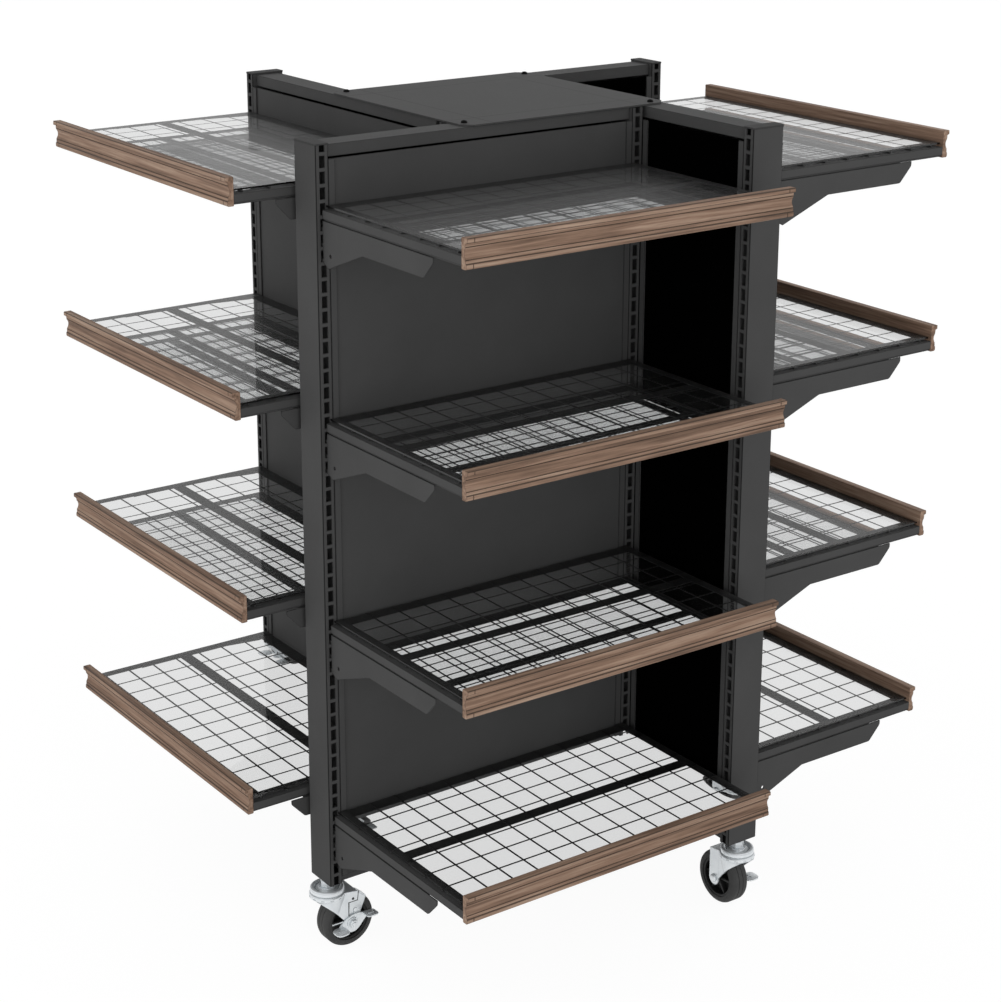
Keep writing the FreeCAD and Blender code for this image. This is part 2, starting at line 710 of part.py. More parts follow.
def beyond_head():
    """What the round head leaves of the fork's square end."""
    bite = root(head_radius * head_radius - leg_outside * leg_outside)
    far = -2 * head_radius
    return [(far, -leg_outside), (-bite, -leg_outside, -head_radius), (-bite, leg_outside),
            (far, leg_outside)]


def make_fork():
    body = new_body("fork_piece")
    side = draw(body, "XZ_Plane", 0, [fork_outline()], [(s.wheel_trail, axle_level, s.axle / 2 + s.fit)])
    pad(body, side, 2 * leg_outside, both_ways=True)
    skin = s.fork_sheet
    near = -2 * head_radius
    far = s.wheel_trail + s.wheel
    hollow = draw(body, "XZ_Plane", 0, [[
        (near, 0), (far, 0), (far, head_top - s.fork_back_low - skin),
        (s.wheel_trail + s.fork_back - skin, head_top - s.fork_back_high - skin),
        (s.wheel_trail - skin, fork_ceiling), (near, fork_ceiling)]])
    pocket(body, hollow, 2 * leg_inside, both_ways=True)
    pocket(body, draw(body, "XY_Plane", 0, [beyond_head()]), both_ways=True)
    head = draw(body, "XY_Plane", head_top, circles=[(0, 0, head_radius)])
    pad(body, head, s.dish_depth + skin, reverse=True)
    dish = draw(body, "XY_Plane", head_top, circles=[(0, 0, dish_radius)])
    pocket(body, dish, s.dish_depth)
    bore = draw(body, "XY_Plane", head_top, circles=[(0, 0, s.rivet / 2 + s.fit)])
    pocket(body, bore, s.dish_depth + 2 * skin)
    return body


def make_axle():
    """Bolt with a round head on the far leg and a nut outside the brake lever."""
    body = new_body("axle_piece")
    lever_outside = leg_outside + s.swivel_gap + s.brake_sheet + s.swivel_gap
    near = -lever_outside - s.axle_head_height
    far = leg_outside + s.axle_head_height
    profile = draw(body, "XY_Plane", 0, [[
        (0, near), (s.axle_head / 2, near), (s.axle_head / 2, -lever_outside), (s.axle / 2, -lever_outside),
        (s.axle / 2, leg_outside), (s.axle_head / 2, leg_outside), (s.axle_head / 2, far), (0, far)]])
    revolve(body, profile)
    return body


def make_hub():
    body = new_body("hub_piece")
    bore = s.axle / 2 + s.fit
    boss = s.hub_boss / 2
    outer = s.wheel / 2 - s.tread
    inner = outer - s.hub_rim
    side = s.wheel_width / 2 - s.tyre_side
    web = s.hub_web / 2
    boss_side = s.wheel_width / 2
    profile = draw(body, "XY_Plane", 0, [[
        (bore, -boss_side), (boss, -boss_side), (boss, -web), (inner, -web), (inner, -side), (outer, -side),
        (outer, side), (inner, side), (inner, web), (boss, web), (boss, boss_side), (bore, boss_side)]])
    revolve(body, profile)
    hole = draw(body, "XZ_Plane", 0, circles=[((boss + inner) / 2, 0, s.hub_hole / 2)])
    cut = pocket(body, hole, both_ways=True)
    ring = body.newObject("PartDesign::PolarPattern", "hub_openings")
    ring.Originals = [cut]
    ring.Axis = (origin_item(body, "Y_Axis"), [""])
    ring.Angle = 360
    bind(ring, "Occurrences", s.hub_holes)
    body.Tip = ring
    return body


def make_tyre():
    body = new_body("tyre_piece")
    inner = s.wheel / 2 - s.tread
    outer = s.wheel / 2
    half = s.wheel_width / 2
    bend = s.tread_round
    groove = s.tread_groove
    mark = s.groove_offset
    profile = draw(body, "XY_Plane", 0, [[
        (inner, -half), (outer - bend, -half, bend), (outer, bend - half),
        (outer, -mark - groove / 2), (outer - groove, -mark), (outer, groove / 2 - mark),
        (outer, mark - groove / 2), (outer - groove, mark), (outer, mark + groove / 2),
        (outer, half - bend, bend), (outer - bend, half), (inner, half)]])
    revolve(body, profile)
    return body


def make_brake():
    """Rocking lever on the axle with a pedal tab at each end."""
    body = new_body("brake_piece")
    inside = leg_outside + s.swivel_gap
    hub, arm = s.brake_hub, s.brake_arm
    slim = hub / 2
    x, z = s.wheel_trail, axle_level
    low_tab, high_tab = z - slim, z + hub
    lever = draw(body, "XZ_Plane", inside, [[
        (x - arm, low_tab), (x - slim, z - hub), (x + slim, z - hub), (x + hub, z),
        (x + arm, high_tab - slim), (x + arm, high_tab), (x + slim, z + hub), (x - slim, z + hub),
        (x - arm, low_tab + slim)]], [(x, z, s.axle / 2 + s.fit)])
    pad(body, lever, s.brake_sheet)
    root_line = -inside - s.brake_sheet
    tabs = ((x - arm - s.brake_tab_length + slim, low_tab, s.brake_tread),
            (x + arm - slim, high_tab - s.brake_sheet, s.brake_tab))
    for start, level, reach in tabs:
        tab = draw(body, "XY_Plane", level, [clipped(
            start, root_line - reach, start + s.brake_tab_length, -inside, s.brake_sheet)])
        pad(body, tab, s.brake_sheet)
    return body


nodes = []


def node(name, pieces):
    """One named node: each piece is a master, its shift in the front frame and its quarter turns."""
    group = doc.addObject("Part::Compound", name)
    group.Label = name
    links = []
    for master, (x, y, z), quarter in pieces:
        link = doc.addObject("App::Link", name + "_piece")
        link.LinkedObject = master
        link.LinkTransform = True
        turn = FreeCAD.Rotation(FreeCAD.Vector(0, 0, 1), 90 * quarter)
        link.Placement = FreeCAD.Placement(FreeCAD.Vector(), turn)
        x, y = turned_xy(dim(x), dim(y), quarter)
        place(link, x, y, dim(z))
        links.append(link)
    group.Links = links
    nodes.append(group)


def build_frames():
    here = (0, 0, 0)
    outer = make_upright("outer_upright_piece", frame_left, s.upright_height)
    inner = make_upright("inner_upright_piece", inner_left, s.upright_height - s.rail_drop)
    panel, board = make_panel(), make_board()
    rails = [make_rail("top_rail_piece", rail_top - s.rail_height, True),
             make_rail("bottom_rail_piece", caster_height, False)]
    strips, spacers = make_strips(), make_spacers()
    plugs = [make_cap(), make_foot_plug()]
    for side, quarter in QUARTERS:
        node(side + "_outer_upright", [(outer, here, quarter)])
        node(side + "_inner_upright", [(inner, here, quarter)])
        node(side + "_panel", [(panel, here, quarter)])
    shared = (("inner_boards", [board]), ("frame_rails", rails), ("cover_strips", strips),
              ("joining_spacers", spacers), ("upright_end_plugs", plugs))
    for name, masters in shared:
        node(name, [(master, here, quarter) for _, quarter in QUARTERS for master in masters])
    node("top_plate", [(make_plate(), here, 0)])
    screw, spot = make_screw(), (screw_x, frame_middle, plate_top)
    node("plate_screws", [(screw, spot, quarter) for _, quarter in QUARTERS])


def build_bays():
    slot_left = frame_left + s.upright_width / 2
    slot_right = inner_left + s.upright_width / 2
    rails = [make_side_rail("left_rail_piece", shelf_left, 1),
             make_side_rail("right_rail_piece", shelf_right, -1)]
    brackets = [make_bracket("left_bracket_piece", slot_left, 1),
                make_bracket("right_bracket_piece", slot_right, -1)]
    kinds = (("deck_frames", rails + make_bars()), ("deck_wires", make_wires()),
             ("shelf_liners", [make_liner()]), ("fascias", make_fascia()), ("brackets", brackets))
    for side, quarter in QUARTERS:
        lift = s.shelf_lift * (quarter % 2)
        for kind, masters in kinds:
            pieces = []
            for level in range(int(s.shelf_count.value)):
                rise = (s.shelf_step * level + lift) * s.slot_pitch
                pieces += [(master, (0, 0, rise), quarter) for master in masters]
            node("%s_%s" % (side, kind), pieces)


def build_casters():
    stem = make_stem()
    stand = (caster_x, frame_middle, 0)
    wheel_stand = (caster_x + s.wheel_trail, frame_middle, axle_level)
    kinds = (("caster_fork", make_fork(), stand), ("caster_axle", make_axle(), wheel_stand),
             ("caster_hub", make_hub(), wheel_stand), ("caster_tyre", make_tyre(), wheel_stand),
             ("caster_brake", make_brake(), stand))
    node("caster_stems", [(stem, stand, quarter) for _, quarter in QUARTERS])
    for side, quarter in QUARTERS:
        for kind, master, shift in kinds:
            node("%s_%s" % (side, kind), [(master, shift, quarter)])


build_frames()
build_bays()
build_casters()
doc.recompute()

for item in doc.Objects:
    if "Invalid" in item.State or "Error" in item.State:
        raise RuntimeError("%s did not compute" % item.Label)
for group in nodes:
    if group.Shape.isNull() or not group.Shape.isValid():
        raise RuntimeError("%s has no valid shape" % group.Label)

os.makedirs("parts", exist_ok=True)
for group in nodes:
    group.Shape.exportStep("parts/%s.step" % group.Label)
box = Part.makeCompound([group.Shape for group in nodes]).BoundBox
print("%d nodes, %.1f x %.1f x %.1f mm" % (len(nodes), box.XLength, box.YLength, box.ZLength))
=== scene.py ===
import json
import math

import bmesh
import bpy
import numpy as np
from mathutils import Matrix, Vector


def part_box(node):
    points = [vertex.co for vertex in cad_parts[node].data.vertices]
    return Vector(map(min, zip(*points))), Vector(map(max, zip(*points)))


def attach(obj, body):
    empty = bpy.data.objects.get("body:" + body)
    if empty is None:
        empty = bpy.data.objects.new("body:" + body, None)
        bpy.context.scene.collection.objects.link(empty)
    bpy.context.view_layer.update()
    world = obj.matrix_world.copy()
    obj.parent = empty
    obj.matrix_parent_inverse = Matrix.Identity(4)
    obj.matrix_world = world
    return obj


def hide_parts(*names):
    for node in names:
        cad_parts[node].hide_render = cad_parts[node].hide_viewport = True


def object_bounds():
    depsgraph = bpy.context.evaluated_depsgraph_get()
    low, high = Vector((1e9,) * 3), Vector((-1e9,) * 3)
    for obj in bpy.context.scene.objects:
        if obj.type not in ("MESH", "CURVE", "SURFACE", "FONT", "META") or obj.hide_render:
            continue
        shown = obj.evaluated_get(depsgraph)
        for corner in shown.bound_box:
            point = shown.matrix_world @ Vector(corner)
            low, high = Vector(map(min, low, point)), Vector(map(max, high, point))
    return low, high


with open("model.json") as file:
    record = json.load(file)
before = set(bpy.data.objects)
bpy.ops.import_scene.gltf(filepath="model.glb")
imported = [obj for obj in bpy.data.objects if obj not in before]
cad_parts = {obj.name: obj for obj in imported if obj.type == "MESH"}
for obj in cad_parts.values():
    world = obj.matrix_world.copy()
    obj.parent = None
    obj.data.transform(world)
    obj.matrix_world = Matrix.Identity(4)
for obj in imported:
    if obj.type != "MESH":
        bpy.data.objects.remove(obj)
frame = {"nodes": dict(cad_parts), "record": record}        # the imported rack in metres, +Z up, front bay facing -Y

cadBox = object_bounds()
scene = bpy.context.scene
nodes = frame["nodes"]
sideNames = ("front", "right", "back", "left")        # each bay is the one before, turned a quarter turn
shelfStep = 0.3556        # from a shelf to the one above it
shelfCount = 4
print("frame loaded:", len(nodes), "nodes")


def quarterTurn(side):
    return Matrix.Rotation(math.radians(90 * side), 4, "Z")


# Node tree helpers
def setInputs(tree, node, inputs):
    for key, value in inputs.items():
        if isinstance(value, bpy.types.NodeSocket):
            tree.links.new(value, node.inputs[key])
        else:
            node.inputs[key].default_value = value


def addNode(tree, kind, inputs=None, **settings):
    node = tree.nodes.new(kind)
    for name, value in settings.items():
        setattr(node, name, value)
    setInputs(tree, node, inputs or {})
    return node


def maths(tree, operation, first, second=0.0):
    return addNode(tree, "ShaderNodeMath", {0: first, 1: second}, operation=operation).outputs[0]


def spread(tree, value, low, high, toLow=0.0, toHigh=1.0):
    inputs = {"Value": value, "From Min": low, "From Max": high, "To Min": toLow, "To Max": toHigh}
    return addNode(tree, "ShaderNodeMapRange", inputs).outputs["Result"]


def mixColour(tree, factor, first, second):
    inputs = {0: factor, 6: first, 7: second}        # the colour sockets of the Mix node
    return addNode(tree, "ShaderNodeMix", inputs, data_type="RGBA").outputs[2]


def vector(tree, x=0.0, y=0.0, z=0.0):
    return addNode(tree, "ShaderNodeCombineXYZ", {"X": x, "Y": y, "Z": z}).outputs[0]


def axesOf(tree, socket):
    return addNode(tree, "ShaderNodeSeparateXYZ", {0: socket}).outputs


def noise(tree, place, scale, detail, roughness, distortion=0.0):
    inputs = {"Vector": place, "Scale": scale, "Detail": detail, "Roughness": roughness,
              "Distortion": distortion}
    return addNode(tree, "ShaderNodeTexNoise", inputs).outputs["Fac"]


def bumped(tree, height, distance, strength):
    inputs = {"Height": height, "Distance": distance, "Strength": strength}
    return addNode(tree, "ShaderNodeBump", inputs).outputs["Normal"]


def mixShaders(tree, share, first, second):
    return addNode(tree, "ShaderNodeMixShader", {0: share, 1: first, 2: second}).outputs[0]


def newGroup(name, inputs, outputs, kind="ShaderNodeTree"):
    group = bpy.data.node_groups.new(name, kind)
    for label, (socketKind, value) in inputs.items():
        socket = group.interface.new_socket(label, in_out="INPUT", socket_type="NodeSocket" + socketKind)
        if value is not None:
            socket.default_value = value
    for label, socketKind in outputs.items():
        group.interface.new_socket(label, in_out="OUTPUT", socket_type="NodeSocket" + socketKind)
    return group, group.nodes.new("NodeGroupInput").outputs, group.nodes.new("NodeGroupOutput").inputs


def useGroup(tree, group, inputs):
    return addNode(tree, "ShaderNodeGroup", inputs, node_tree=group).outputs


def newMaterial(name):
    material = bpy.data.materials.new(name)
    material.use_nodes = True
    tree = material.node_tree
    return material, tree, tree.nodes["Principled BSDF"]


def objectPlace(tree):
    return addNode(tree, "ShaderNodeTexCoord").outputs["Object"]


def setSurface(tree, socket):
    tree.links.new(socket, tree.nodes["Material Output"].inputs["Surface"])


def grey(level):
    return (level, level, level, 1)


# Shared surface effects
noiseSpan = (0.3, 0.7)        # where most values of a noise lie


def makeCoatTexture():
    group, given, made = newGroup(
        "coatTexture", {"Vector": ("Vector", None), "Grain": ("Float", 900.0), "Cloud": ("Float", 9.0)},
        {"Peel": "Float", "Clouds": "Float"})
    peel = noise(group, given["Vector"], given["Grain"], detail=2.0, roughness=0.6)
    group.links.new(peel, made["Peel"])
    clouds = noise(group, given["Vector"], given["Cloud"], detail=4.0, roughness=0.55)
    group.links.new(spread(group, clouds, *noiseSpan), made["Clouds"])
    return group


edgeLook = {"samples": 6, "agree": (0.985, 0.86)}        # agree: of two normals, from no line to a full one


# painted shade: a dark line along every edge and seam, where the normal rounded over the width parts from the true
# normal
def makeEdgeLine(look):
    group, given, made = newGroup("edgeLine", {"Width": ("Float", 0.001)}, {"Line": "Float"})
    bevel = addNode(group, "ShaderNodeBevel", {"Radius": given["Width"]}, samples=look["samples"])
    normals = {0: bevel.outputs[0], 1: addNode(group, "ShaderNodeNewGeometry").outputs["True Normal"]}
    agree = addNode(group, "ShaderNodeVectorMath", normals, operation="DOT_PRODUCT").outputs["Value"]
    group.links.new(spread(group, agree, *look["agree"]), made["Line"])
    return group


fibreLook = {        # of a noise: stretch, detail, roughness and distortion
    "bands": ((1.6, 55.0, 55.0), 4.0, 0.55, 0.5), "fibres": ((7.0, 210.0, 210.0), 4.0, 0.62),
    "pores": ((20.0, 800.0, 800.0), 2.0, 0.5), "poreSpan": (0.6, 0.72), "darkToMid": (0.38, 0.5),
    "midToLight": (0.5, 0.64), "poreTone": 0.4, "poreDip": 0.6,
}


def grain(tree, place, stretch, *rest):        # noise drawn out along the wood
    along = addNode(tree, "ShaderNodeMapping", {"Vector": place, "Scale": stretch}).outputs["Vector"]
    return noise(tree, along, 1.0, *rest)


def makeWoodFibre(look):
    group, given, made = newGroup(
        "woodFibre", {"Vector": ("Vector", None), "Light": ("Color", grey(1)), "Mid": ("Color", grey(1)),
                      "Dark": ("Color", grey(0))}, {"Color": "Color", "Height": "Float"})
    place = given["Vector"]
    bands, fibres, pores = (grain(group, place, *look[part]) for part in ("bands", "fibres", "pores"))
    streak = spread(group, pores, *look["poreSpan"])
    tone = maths(group, "MULTIPLY", maths(group, "ADD", bands, fibres), 0.5)        # their mean
    body = mixColour(group, spread(group, tone, *look["darkToMid"]), given["Dark"], given["Mid"])
    body = mixColour(group, spread(group, tone, *look["midToLight"]), body, given["Light"])
    body = mixColour(group, maths(group, "MULTIPLY", streak, look["poreTone"]), body, given["Dark"])
    group.links.new(body, made["Color"])
    dip = maths(group, "MULTIPLY", streak, look["poreDip"])
    group.links.new(maths(group, "SUBTRACT", fibres, dip), made["Height"])
    return group


coatTexture = makeCoatTexture()
edgeLine = makeEdgeLine(edgeLook)
woodFibre = makeWoodFibre(fibreLook)

# Finishes
charcoalLook = {
    "tones": (grey(0.07), grey(0.08)), "edge": grey(0.016), "edgeWidth": 0.0019, "grain": 950.0,
    "cloud": 7.0, "peelDepth": 0.00012, "peelShare": 0.6, "roughness": (0.56, 0.7), "specular": 0.08,
}
uprightLook = {**charcoalLook, "cornerShade": (0.975, 0.9)}
plateLook = {**charcoalLook, "tones": (grey(0.072), grey(0.078)), "foldAt": 0.1575, "foldHalf": 0.0007,
             "fold": grey(0.04)}
mouldedLook = {"grain": 1100.0, "cloud": 30.0, "peelDepth": 0.0001, "peelShare": 0.5}
rubberLook = {**mouldedLook, "tones": (grey(0.046), (0.066, 0.066, 0.065, 1)), "roughness": (0.62, 0.8),
              "specular": 0.3}
hubLook = {**mouldedLook, "tones": (grey(0.01), grey(0.016)), "roughness": (0.45, 0.6), "specular": 0.3}
screwLook = {**mouldedLook, "tones": (grey(0.002), grey(0.004)), "roughness": (0.5, 0.6), "specular": 0.06}
capLook = {**mouldedLook, "tones": (grey(0.058), grey(0.066)), "roughness": (0.5, 0.6), "specular": 0.02,
           "coverLevel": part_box("front_outer_upright")[1].z, "coverPlay": 0.0002, "inside": grey(0.001)}


def coated(name, look):        # two clouded tones under a fine peel
    material, tree, shader = newMaterial(name)
    place = objectPlace(tree)
    coat = useGroup(tree, coatTexture, {"Vector": place, "Grain": look["grain"], "Cloud": look["cloud"]})
    colour = mixColour(tree, coat["Clouds"], *look["tones"])
    # painted shade: the edge colour darkens every edge and seam
    if "edge" in look:
        line = useGroup(tree, edgeLine, {"Width": look["edgeWidth"]})["Line"]
        if "cornerShade" in look:        # painted shade: rounded edges, which face along none of the axes, get the dark edge colour
            sides = axesOf(tree, addNode(tree, "ShaderNodeNewGeometry").outputs["True Normal"])
            first, second, third = (maths(tree, "ABSOLUTE", sides[axis]) for axis in "XYZ")
            facing = maths(tree, "MAXIMUM", maths(tree, "MAXIMUM", first, second), third)
            line = maths(tree, "MAXIMUM", line, spread(tree, facing, *look["cornerShade"]))
        colour = mixColour(tree, line, colour, look["edge"])
    if "fold" in look:        # painted shade: a dark line along each rail below the top plate, where it is scored
        axes = axesOf(tree, place)
        lines = []
        for axis in "XY":
            away = maths(tree, "SUBTRACT", maths(tree, "ABSOLUTE", axes[axis]), look["foldAt"])
            lines.append(spread(tree, maths(tree, "ABSOLUTE", away), look["foldHalf"] * 2, look["foldHalf"]))
        colour = mixColour(tree, maths(tree, "MAXIMUM", *lines), colour, look["fold"])
    if "coverLevel" in look:        # painted shade: near black below the upright's top, where the plug stands in the tube
        level = look["coverLevel"] - look["coverPlay"]
        shown = maths(tree, "GREATER_THAN", axesOf(tree, place)["Z"], level)
        colour = mixColour(tree, shown, look["inside"], colour)
    peel = coat["Peel"]
    setInputs(tree, shader, {
        "Base Color": colour, "Roughness": spread(tree, peel, *noiseSpan, *look["roughness"]),
        "Specular IOR Level": look["specular"],
        "Normal": bumped(tree, peel, look["peelDepth"], look["peelShare"])})
    return material


shadeBoardLook = {"colour": grey(0.0004), "fleck": grey(0.0012), "grain": 600.0, "roughness": (0.85, 0.95)}


# painted shade: the inner boards are kept near black, standing for the dark that fills the core between the frames
def blackBoard(look):
    material, tree, shader = newMaterial("blackBoard")
    coat = useGroup(tree, coatTexture, {"Vector": objectPlace(tree), "Grain": look["grain"]})
    setInputs(tree, shader, {
        "Base Color": mixColour(tree, coat["Peel"], look["colour"], look["fleck"]),
        "Roughness": spread(tree, coat["Clouds"], 0.0, 1.0, *look["roughness"]), "Specular IOR Level": 0.0})
    return material


walnutLook = {
    "light": (0.48, 0.345, 0.258, 1), "mid": (0.305, 0.196, 0.138, 1), "dark": (0.15, 0.095, 0.067, 1),
    "edge": (0.06, 0.043, 0.033, 1), "edgeWidth": 0.0014, "edgeShare": 0.85, "heightSpan": (0.2, 0.7),
    "roughness": (0.5, 0.68), "poreDepth": 0.00018, "poreShare": 0.5, "specular": 0.15,
}


def walnut(look, turn):        # painted shade: darker along its edges and on the faces the mesh marks
    material, tree, shader = newMaterial("walnut%d" % turn)
    turned = {"Vector": objectPlace(tree), "Rotation": (0, 0, -math.radians(turn))}
    along = addNode(tree, "ShaderNodeMapping", turned).outputs["Vector"]
    wood = useGroup(tree, woodFibre, {"Vector": along, "Light": look["light"], "Mid": look["mid"],
                                      "Dark": look["dark"]})
    grooveShade = addNode(tree, "ShaderNodeAttribute", attribute_name="grooveShade").outputs["Fac"]
    line = maths(tree, "MAXIMUM", useGroup(tree, edgeLine, {"Width": look["edgeWidth"]})["Line"], grooveShade)
    line = maths(tree, "MULTIPLY", line, look["edgeShare"])
    setInputs(tree, shader, {
        "Base Color": mixColour(tree, line, wood["Color"], look["edge"]),
        "Roughness": spread(tree, wood["Height"], *look["heightSpan"], *look["roughness"]),
        "Specular IOR Level": look["specular"],
        "Normal": bumped(tree, wood["Height"], look["poreDepth"], look["poreShare"])})
    return material


zincLook = {"bright": (0.88, 0.91, 0.93, 1), "dull": (0.8, 0.84, 0.865, 1), "edge": (0.16, 0.19, 0.21, 1),
            "edgeWidth": 0.0009, "cloud": 40.0, "roughness": (0.32, 0.44), "metallic": 0.5}


def zincPlate(look):
    material, tree, shader = newMaterial("zincPlate")
    coat = useGroup(tree, coatTexture, {"Vector": objectPlace(tree), "Cloud": look["cloud"]})
    # painted shade: a dark line along every edge
    line = useGroup(tree, edgeLine, {"Width": look["edgeWidth"]})["Line"]
    colour = mixColour(tree, coat["Clouds"], look["bright"], look["dull"])
    setInputs(tree, shader, {
        "Base Color": mixColour(tree, line, colour, look["edge"]), "Metallic": look["metallic"],
        "Roughness": spread(tree, coat["Clouds"], 0.0, 1.0, *look["roughness"])})
    return material


sheetLook = {
    "tint": (0.72, 0.725, 0.725, 1), "shadedEdge": grey(0.004), "faceSpan": (0.4, 0.6), "bend": 2.3,
    "roughness": 0.02, "mirrorShare": 0.25, "passing": grey(0.55), "shadow": grey(0.75), "sheenBend": 1.45,
    "sheenShare": 0.5, "sheenRoughness": 0.38,
}


def clearSheet(look):        # bends what is seen at its upper face and lets it straight out again
    material, tree, shader = newMaterial("clearSheet")
    surface = addNode(tree, "ShaderNodeNewGeometry").outputs
    upright = maths(tree, "ABSOLUTE", axesOf(tree, surface["True Normal"])["Z"])
    # painted shade: the sheet's side faces are tinted near black
    tint = mixColour(tree, spread(tree, upright, *look["faceSpan"]), look["shadedEdge"], look["tint"])
    setInputs(tree, shader, {"Base Color": tint, "Transmission Weight": 1.0, "IOR": look["bend"],
                             "Roughness": look["roughness"]})
    soft = addNode(tree, "ShaderNodeBsdfRefraction", {"Color": tint, "IOR": look["bend"]}).outputs[0]
    front = mixShaders(tree, look["mirrorShare"], soft, shader.outputs[0])
    slant = addNode(tree, "ShaderNodeFresnel", {"IOR": look["sheenBend"]}).outputs[0]
    share = maths(tree, "MULTIPLY", slant, look["sheenShare"])
    sheen = addNode(tree, "ShaderNodeBsdfAnisotropic", {"Roughness": look["sheenRoughness"]}).outputs[0]
    front = mixShaders(tree, share, front, sheen)        # scuffed, so hazy at a slant
    ray = addNode(tree, "ShaderNodeLightPath").outputs
    through = mixColour(tree, ray["Is Diffuse Ray"], grey(1), look["passing"])
    through = mixColour(tree, ray["Is Shadow Ray"], through, look["shadow"])
    clear = addNode(tree, "ShaderNodeBsdfTransparent", {"Color": through}).outputs[0]
    lit = maths(tree, "MAXIMUM", ray["Is Shadow Ray"], ray["Is Diffuse Ray"])
    passing = maths(tree, "MAXIMUM", surface["Backfacing"], lit)
    setSurface(tree, mixShaders(tree, passing, front, clear))
    return material


finishes = {
    "charcoal_metal": coated("charcoalCoat", charcoalLook),
    "black_board": blackBoard(shadeBoardLook),
    "black_plug": coated("capMoulding", capLook),
    "black_screw": coated("blackScrew", screwLook),
    "clear_sheet": clearSheet(sheetLook),
    "zinc": zincPlate(zincLook),
    "black_hub": coated("hubMoulding", hubLook),
    "tyre_rubber": coated("tyreRubber", rubberLook),
}
woods = [walnut(walnutLook, turn) for turn in (0, 90)]
uprightCoat = coated("uprightCoat", uprightLook)
ownFinish = {"top_plate": coated("plateCoat", plateLook)}
for side, sideName in enumerate(sideNames):
    ownFinish[sideName + "_fascias"] = woods[side % 2]
    for end in ("outer", "inner"):
        ownFinish["%s_%s_upright" % (sideName, end)] = uprightCoat
for row in frame["record"]["subparts"]:
    skins = nodes[row["node"]].data.materials
    skins.clear()
    skins.append(ownFinish.get(row["node"]) or finishes[row["material_slot"]])
print("finishes set:", len(bpy.data.materials))

# Mesh helpers
smoothTurn = 38.0        # degrees between faces that still shade as one


def lathe(bm, profile, axis, sides, centre=(0, 0, 0)):        # profile pairs: radius, place along the axis
    poles = {i: None for i, (radius, along) in enumerate(profile) if radius == 0}
    rings = []
    for step in range(sides):
        angle = 2 * math.pi * step / sides
        ring = []
        for i, (radius, along) in enumerate(profile):
            across, up = radius * math.cos(angle), radius * math.sin(angle)
            local = (across, up, along) if axis == "Z" else (across, along, up)
            vert = poles.get(i) or bm.verts.new(Vector(local) + Vector(centre))
            if i in poles:
                poles[i] = vert
            ring.append(vert)
        rings.append(ring)
    for step, ring in enumerate(rings):
        other = rings[(step + 1) % sides]
        for i in range(len(profile)):
            j = (i + 1) % len(profile)
            corners = list(dict.fromkeys((ring[i], ring[j], other[j], other[i])))
            if len(corners) > 2:
                bm.faces.new(corners)


def rectangle(left, low, right, high):
    return [(left, low), (right, low), (right, high), (left, high)]


def pulledCurve(start, pull, end, steps):        # from start to end, drawn towards pull
    shares = np.linspace(0, 1, steps + 1)
    return [start * (1 - t) ** 2 + pull * 2 * t * (1 - t) + end * t ** 2 for t in shares]


def roundedOutline(corners, radius, steps, sideShare=0.45):        # each corner becomes an arc
    points = []
    count = len(corners)
    for i in range(count):
        before, here, after = (Vector(corners[k % count]) for k in (i - 1, i, i + 1))
        back, ahead = before - here, after - here
        start = here + back.normalized() * min(radius, sideShare * back.length)
        end = here + ahead.normalized() * min(radius, sideShare * ahead.length)
        points += pulledCurve(start, here, end, steps)
    return points


def ribbonOutline(path, wide, leastTurn=0.5):        # a narrow band along a path
    points = [Vector(point) for point in path]
    left, right = [], []
    for i, here in enumerate(points):
        along = (points[min(i + 1, len(points) - 1)] - points[max(i - 1, 0)]).normalized()
        across = Vector((-along.y, along.x)) * wide / 2
        if 0 < i < len(points) - 1:        # keeps its width round a corner
            straight = (points[i + 1] - here).orthogonal().normalized()
            across /= max(across.normalized().dot(straight), leastTurn)
        left.append(here + across)
        right.append(here - across)
    return left + right[::-1]


def circleOutline(centre, radius, sides):
    turns = (2 * math.pi * step / sides for step in range(sides))
    return [(centre[0] + radius * math.cos(turn), centre[1] + radius * math.sin(turn)) for turn in turns]


def prism(bm, bottom, top):        # caps and sides between two like rings of corners
    made = [bm.faces.new(bottom[::-1]), bm.faces.new(top)]
    for i in range(len(bottom)):
        j = (i + 1) % len(bottom)
        made.append(bm.faces.new((bottom[i], bottom[j], top[j], top[i])))
    return made


def cutPlate(bm, outline, low, high, place, skin=0):        # flat sheet cut to an outline; place(a, b, level)
    bottom = [bm.verts.new(place(a, b, low)) for a, b in outline]
    top = [bm.verts.new(place(a, b, high)) for a, b in outline]
    for face in prism(bm, bottom, top):
        face.material_index = skin


def sideOn(a, b, level):        # outline in x and z, thickness along y
    return Vector((a, level, b))


def shell(bm, outer, inner):        # two like grids joined along their borders into one closed sheet
    outerVerts = [[bm.verts.new(point) for point in row] for row in outer]
    innerVerts = [[bm.verts.new(point) for point in row] for row in inner]
    rows, columns = len(outer), len(outer[0])
    for r in range(rows - 1):
        for c in range(columns - 1):
            first, second, third, fourth = (r, c), (r, c + 1), (r + 1, c + 1), (r + 1, c)
            bm.faces.new([outerVerts[a][b] for a, b in (first, second, third, fourth)])
            bm.faces.new([innerVerts[a][b] for a, b in (first, fourth, third, second)])
    border = [(0, c) for c in range(columns)] + [(r, columns - 1) for r in range(1, rows)]
    border += [(rows - 1, c) for c in range(columns - 2, -1, -1)] + [(r, 0) for r in range(rows - 2, 0, -1)]
    for (r, c), (nextR, nextC) in zip(border, border[1:] + border[:1]):
        bm.faces.new((outerVerts[r][c], innerVerts[r][c], innerVerts[nextR][nextC], outerVerts[nextR][nextC]))


def linked(name, mesh):
    piece = bpy.data.objects.new(name, mesh)
    scene.collection.objects.link(piece)
    return piece


